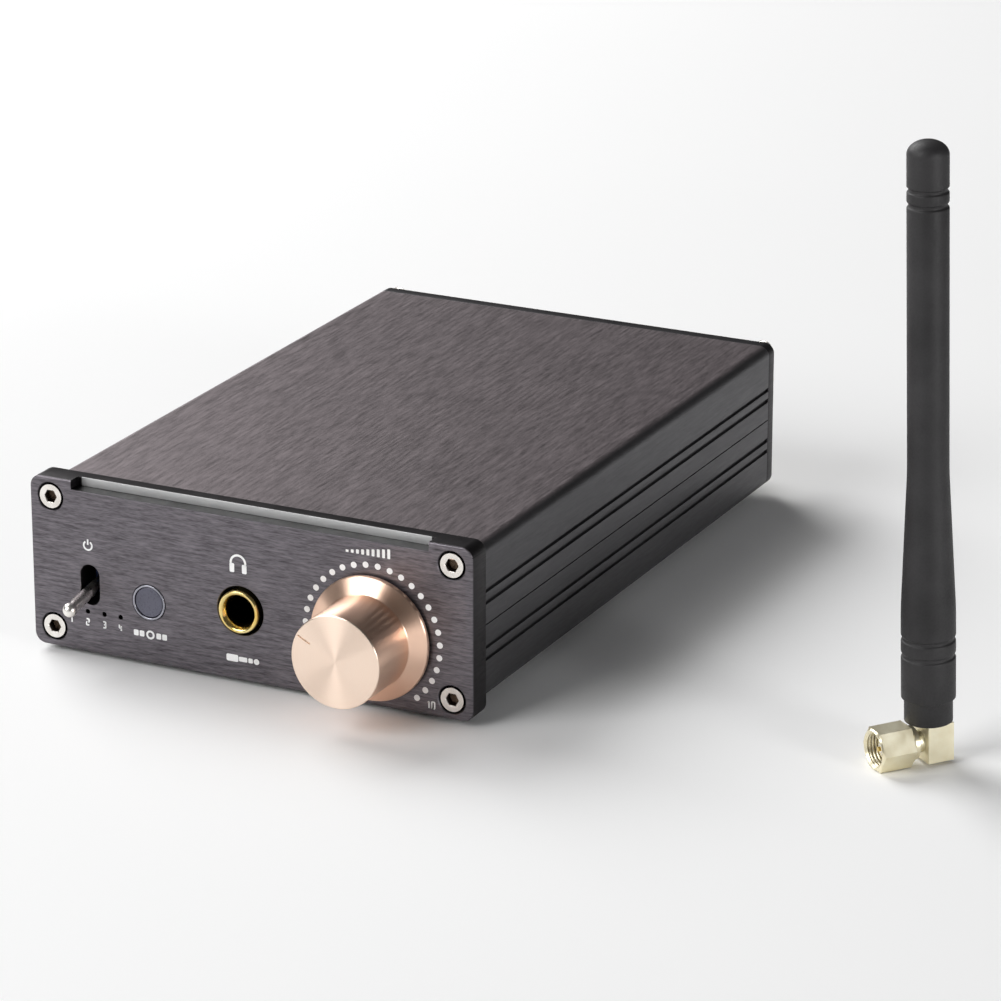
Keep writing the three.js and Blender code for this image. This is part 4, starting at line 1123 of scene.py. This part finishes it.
# %% [markdown]
# ## Rear panel and sockets
# The rear panel lies flush with the shells, and small screw heads sit on it. Each phono
# socket has a coloured collar and a plated barrel, made here as one piece each.

# %% Rear panel
rear_low, rear_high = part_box("rear_panel")
rear_size, rear_face = rear_high - rear_low, rear_high.y
rear_in = rear_low.y - 1 * MM
rear_plate = plate(
    "rear_plate", rear_size.x, rear_size.z, 2.2 * MM, (rear_low.y + 0.03 * MM, rear_high.y),
    (0, rear_size.z / 2), 0.25 * MM,
)


def window(node_name, gap):
    """A square cutter a little larger than a socket's own box, through the rear panel."""
    low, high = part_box(node_name)
    middle, size = (low + high) / 2, high - low
    outline = rounded_outline(size.x + gap, size.z + gap, 0.4 * MM, 4)
    return stack("cutter", [at_depth(outline, y, middle.x, middle.z) for y in (rear_in, rear_face + 1 * MM)])


PHONO_HOLE, POWER_HOLE, PORT_HOLE = 4.8 * MM, 4.3 * MM, 3.3 * MM
cutters = [window("usb_socket", 0.3 * MM), window("optical_socket", 0.3 * MM)]
PHONO = {"coaxial_input": PHONO_ORANGE, "line_out_left": PHONO_WHITE, "line_out_right": PHONO_RED}
socket_z = middle_of("usb_socket")[2]
for node_name in PHONO:
    cutters.append(drill(PHONO_HOLE, rear_face, rear_in, middle_of(node_name)[0], socket_z, outward=1))
cutters.append(drill(POWER_HOLE, rear_face, rear_in, middle_of("dc_inlet")[0], socket_z, outward=1))
port = middle_of("antenna_jack")
cutters.append(drill(PORT_HOLE, rear_face, rear_in, port[0], port[2], outward=1))
for spot in screw_places("rear"):
    cutters.append(drill(SHANK_HOLE, rear_face, rear_in, spot[0], spot[2], outward=1, sides=32))
# The rear face is painted lighter, as painted sheen, and the rims darker, as painted shade.
REAR_BLACK = anodised(
    "rear_anodised", (0.120, 0.115, 0.120, 1), (0.050, 0.047, 0.050, 1), 0.45,
    (170.0, 170.0, 5200.0), ("Y", rear_face - 0.35 * MM, rear_face - 0.05 * MM), 0.44,
)
place(carve(rear_plate, cutters), "case", "panel_black", REAR_BLACK, "rear_panel")

# %% Phono sockets
SLOT_OF = {"coaxial_input": "phono_orange", "line_out_left": "phono_white", "line_out_right": "phono_red"}
for node_name, colour in PHONO.items():
    low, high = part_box(node_name)
    axis_at = ((low.x + high.x) / 2, 0, socket_z)
    tip = high.y
    collar = [
        (0, rear_low.y - 9 * MM), (5.2 * MM, rear_low.y - 9 * MM), (5.2 * MM, rear_low.y - 0.2 * MM),
        (4.7 * MM, rear_low.y - 0.2 * MM), (4.7 * MM, rear_face + 1.4 * MM), (4.2 * MM, rear_face + 1.4 * MM),
        (4.2 * MM, rear_face + 0.6 * MM), (3.0 * MM, rear_face + 0.6 * MM), (3.0 * MM, tip - 0.5 * MM),
        (1.6 * MM, tip - 0.5 * MM), (1.6 * MM, tip - 7 * MM), (0, tip - 7 * MM),
    ]
    base = spin(f"{node_name}_collar", fillet(collar, 0.15 * MM, 3), axis_at, sides=64)
    place(base, "case", SLOT_OF[node_name], colour, node_name)
    barrel = [
        (3.05 * MM, rear_face + 0.65 * MM), (4.15 * MM, rear_face + 0.65 * MM), (4.15 * MM, tip),
        (3.05 * MM, tip), (3.05 * MM, rear_face + 0.65 * MM),
    ]
    sleeve = spin(f"{node_name}_barrel", fillet(barrel, 0.2 * MM, 3), axis_at, sides=64)
    place(sleeve, "case", SLOT_OF[node_name], PALE_GOLD)

# %% Antenna port: a threaded barrel with a white insulator and a contact in its end
port_low, port_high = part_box("antenna_jack")
crest = 3.1 * MM
along = np.arange(rear_face + 2.6 * MM, port_high.y - 0.5 * MM, THREAD_PITCH / 4)
wave = np.abs((along / THREAD_PITCH) % 1 - 0.5) * 2
thread = np.stack([crest - 0.3 * MM * wave, along], axis=1)
port_profile = np.vstack([
    [(0, port_low.y), (crest, port_low.y), (crest, rear_face + 2.5 * MM)], thread,
    [(crest - 0.35 * MM, port_high.y), (2.1 * MM, port_high.y), (2.1 * MM, port_high.y - 3 * MM)],
    [(0, port_high.y - 3 * MM)],
])
# The thread's grooves and the inside of its mouth are painted with shade.
thread_shade = np.concatenate([[0, 0, 0], 0.5 * wave, [0, 0, 0.5, 0.8]])
barrel = spin("port_barrel", port_profile, (port[0], 0, port[2]), sides=72, hollow=thread_shade)
place(barrel, "case", "connector_gold", PALE_GOLD, "antenna_jack")
filling = [
    (0, port_high.y - 3.5 * MM), (2.05 * MM, port_high.y - 3.5 * MM), (2.05 * MM, port_high.y - 0.4 * MM),
    (0.65 * MM, port_high.y - 0.4 * MM), (0.65 * MM, port_high.y - 2.5 * MM), (0, port_high.y - 2.5 * MM),
]
core = spin("port_insulator", fillet(filling, 0.08 * MM, 2), (port[0], 0, port[2]), sides=48)
place(core, "case", "insulator_white", INSULATOR)

# %% [markdown]
# ## The pieces whose CAD shape is right
# Blocks, cans, nuts and the inside parts keep their CAD meshes or a copy with soft edges.
# They only need their finish.

# %% Soft-edged copies
SOFT = [
    ("antenna_jack_nut", "port_nut", 0.15, "connector_gold", PALE_GOLD, "case"),
    ("usb_socket", "usb_shell", 0.2, "can_steel", TINNED, "case"),
    ("dc_inlet", "power_inlet", 0.2, "black_plastic", BLACK_PLASTIC, "case"),
    ("optical_socket", "optical_frame", 0.25, "black_plastic", BLACK_PLASTIC, "case"),
    ("optical_shutter", "optical_flap", 0.12, "black_plastic", BLACK_PLASTIC, "shutter"),
    ("headphone_jack_body", "jack_housing", 0.2, "black_plastic", BLACK_PLASTIC, "case"),
]
SOFT += [(f"rubber_foot_{i}", f"foot_{i}", 0.4, "foot_rubber", FOOT_RUBBER, "case") for i in (1, 2, 3, 4)]
for node_name, name, width, slot, material, body in SOFT:
    place(soft_copy(node_name, name, width * MM), body, slot, material, node_name)

# %% Finishes for the CAD nodes that stay
WEARS = {
    BOARD_GREEN: ["main_board", "bluetooth_module"],
    TINNED: ["bluetooth_shield_can", "crystal", "pot_body", "tact_switch"],
    CHIP_BLACK: ["dac_chip", "opamp_1", "opamp_2", "regulator", "antenna_pigtail"],
    SLEEVE_BLUE: [f"capacitor_{i}" for i in (1, 2, 3, 4)],
    LAMP_LENS: [f"indicator_led_{i}" for i in (1, 2, 3, 4)],
    STEEL: ["pot_shaft", "pot_nut", "knob_set_screw"],
    SWITCH_BLUE: ["toggle_body"],
    BLACK_PLASTIC: ["tact_plunger"],
    INSULATOR: ["antenna_insulator"],
    JACK_GOLD: ["antenna_centre_pin"],
}
for material, names in WEARS.items():
    for name in names:
        mesh = frame["nodes"][name].data
        mesh.materials.clear()
        mesh.materials.append(material)
print("finished", sum(len(names) for names in WEARS.values()), "CAD nodes")

# %% [markdown]
# ## Stage and light
# A large pale floor, a soft box above and behind for the sheen on the top, a wide one from
# the left front and a weak one from the right. The sky is a little dimmer low down than
# overhead, so that curved metal doesn't mirror the same brightness all round.

# %% Floor
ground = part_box("rubber_foot_1")[0].z


def floor_sheet(side):
    corners = np.array([(-1, -1), (1, -1), (1, 1), (-1, 1)]) * side / 2
    points = np.column_stack([corners, np.full(4, ground - 0.05 * MM)])
    return as_piece("floor", points, [[0, 1, 2, 3]])


floor = floor_sheet(14.0)
floor_finish = Finish("floor_white", Roughness=0.9)
cloud = floor_finish.effect(MOTTLE, "Cloud", Size=2.0)
floor_finish.set("Base Color", mix_colour(floor_finish.tree, cloud, grey(0.93), grey(0.95)))
floor.data.materials.append(floor_finish.material)


# %% Lights
def soft_box(name, place_at, aim, size, power):
    """A square area light of a given size in metres, turned to face a point."""
    data = bpy.data.lights.new(name, "AREA")
    data.size, data.energy = size, power
    light = bpy.data.objects.new(name, data)
    bpy.context.collection.objects.link(light)
    light.location = place_at
    direction = np.asarray(aim, float) - np.asarray(place_at, float)
    light.rotation_euler = Direction(direction).to_track_quat("-Z", "Y").to_euler()
    return light


soft_box("top_box", (-1.3, 0.6, 1.2), (0, 0, 0), 1.2, 33)
soft_box("front_box", (-0.9, -1.5, 1.1), (0, 0, 0), 1.2, 27)
soft_box("side_box", (1.55, -0.55, 0.3), (0, 0, 0), 0.45, 9)

world = bpy.data.worlds.new("studio")
bpy.context.scene.world = world
world.use_nodes = True
sky = world.node_tree
direction = node(sky, "ShaderNodeTexCoord").outputs["Generated"]
parts = node(sky, "ShaderNodeSeparateXYZ")
sky.links.new(direction, parts.inputs[0])
height = range_node(sky, parts.outputs["Z"], -0.05, 0.75, 1.12, 1.55)
sky.links.new(height, sky.nodes["Background"].inputs["Strength"])
bpy.context.scene.view_settings.view_transform = "Standard"
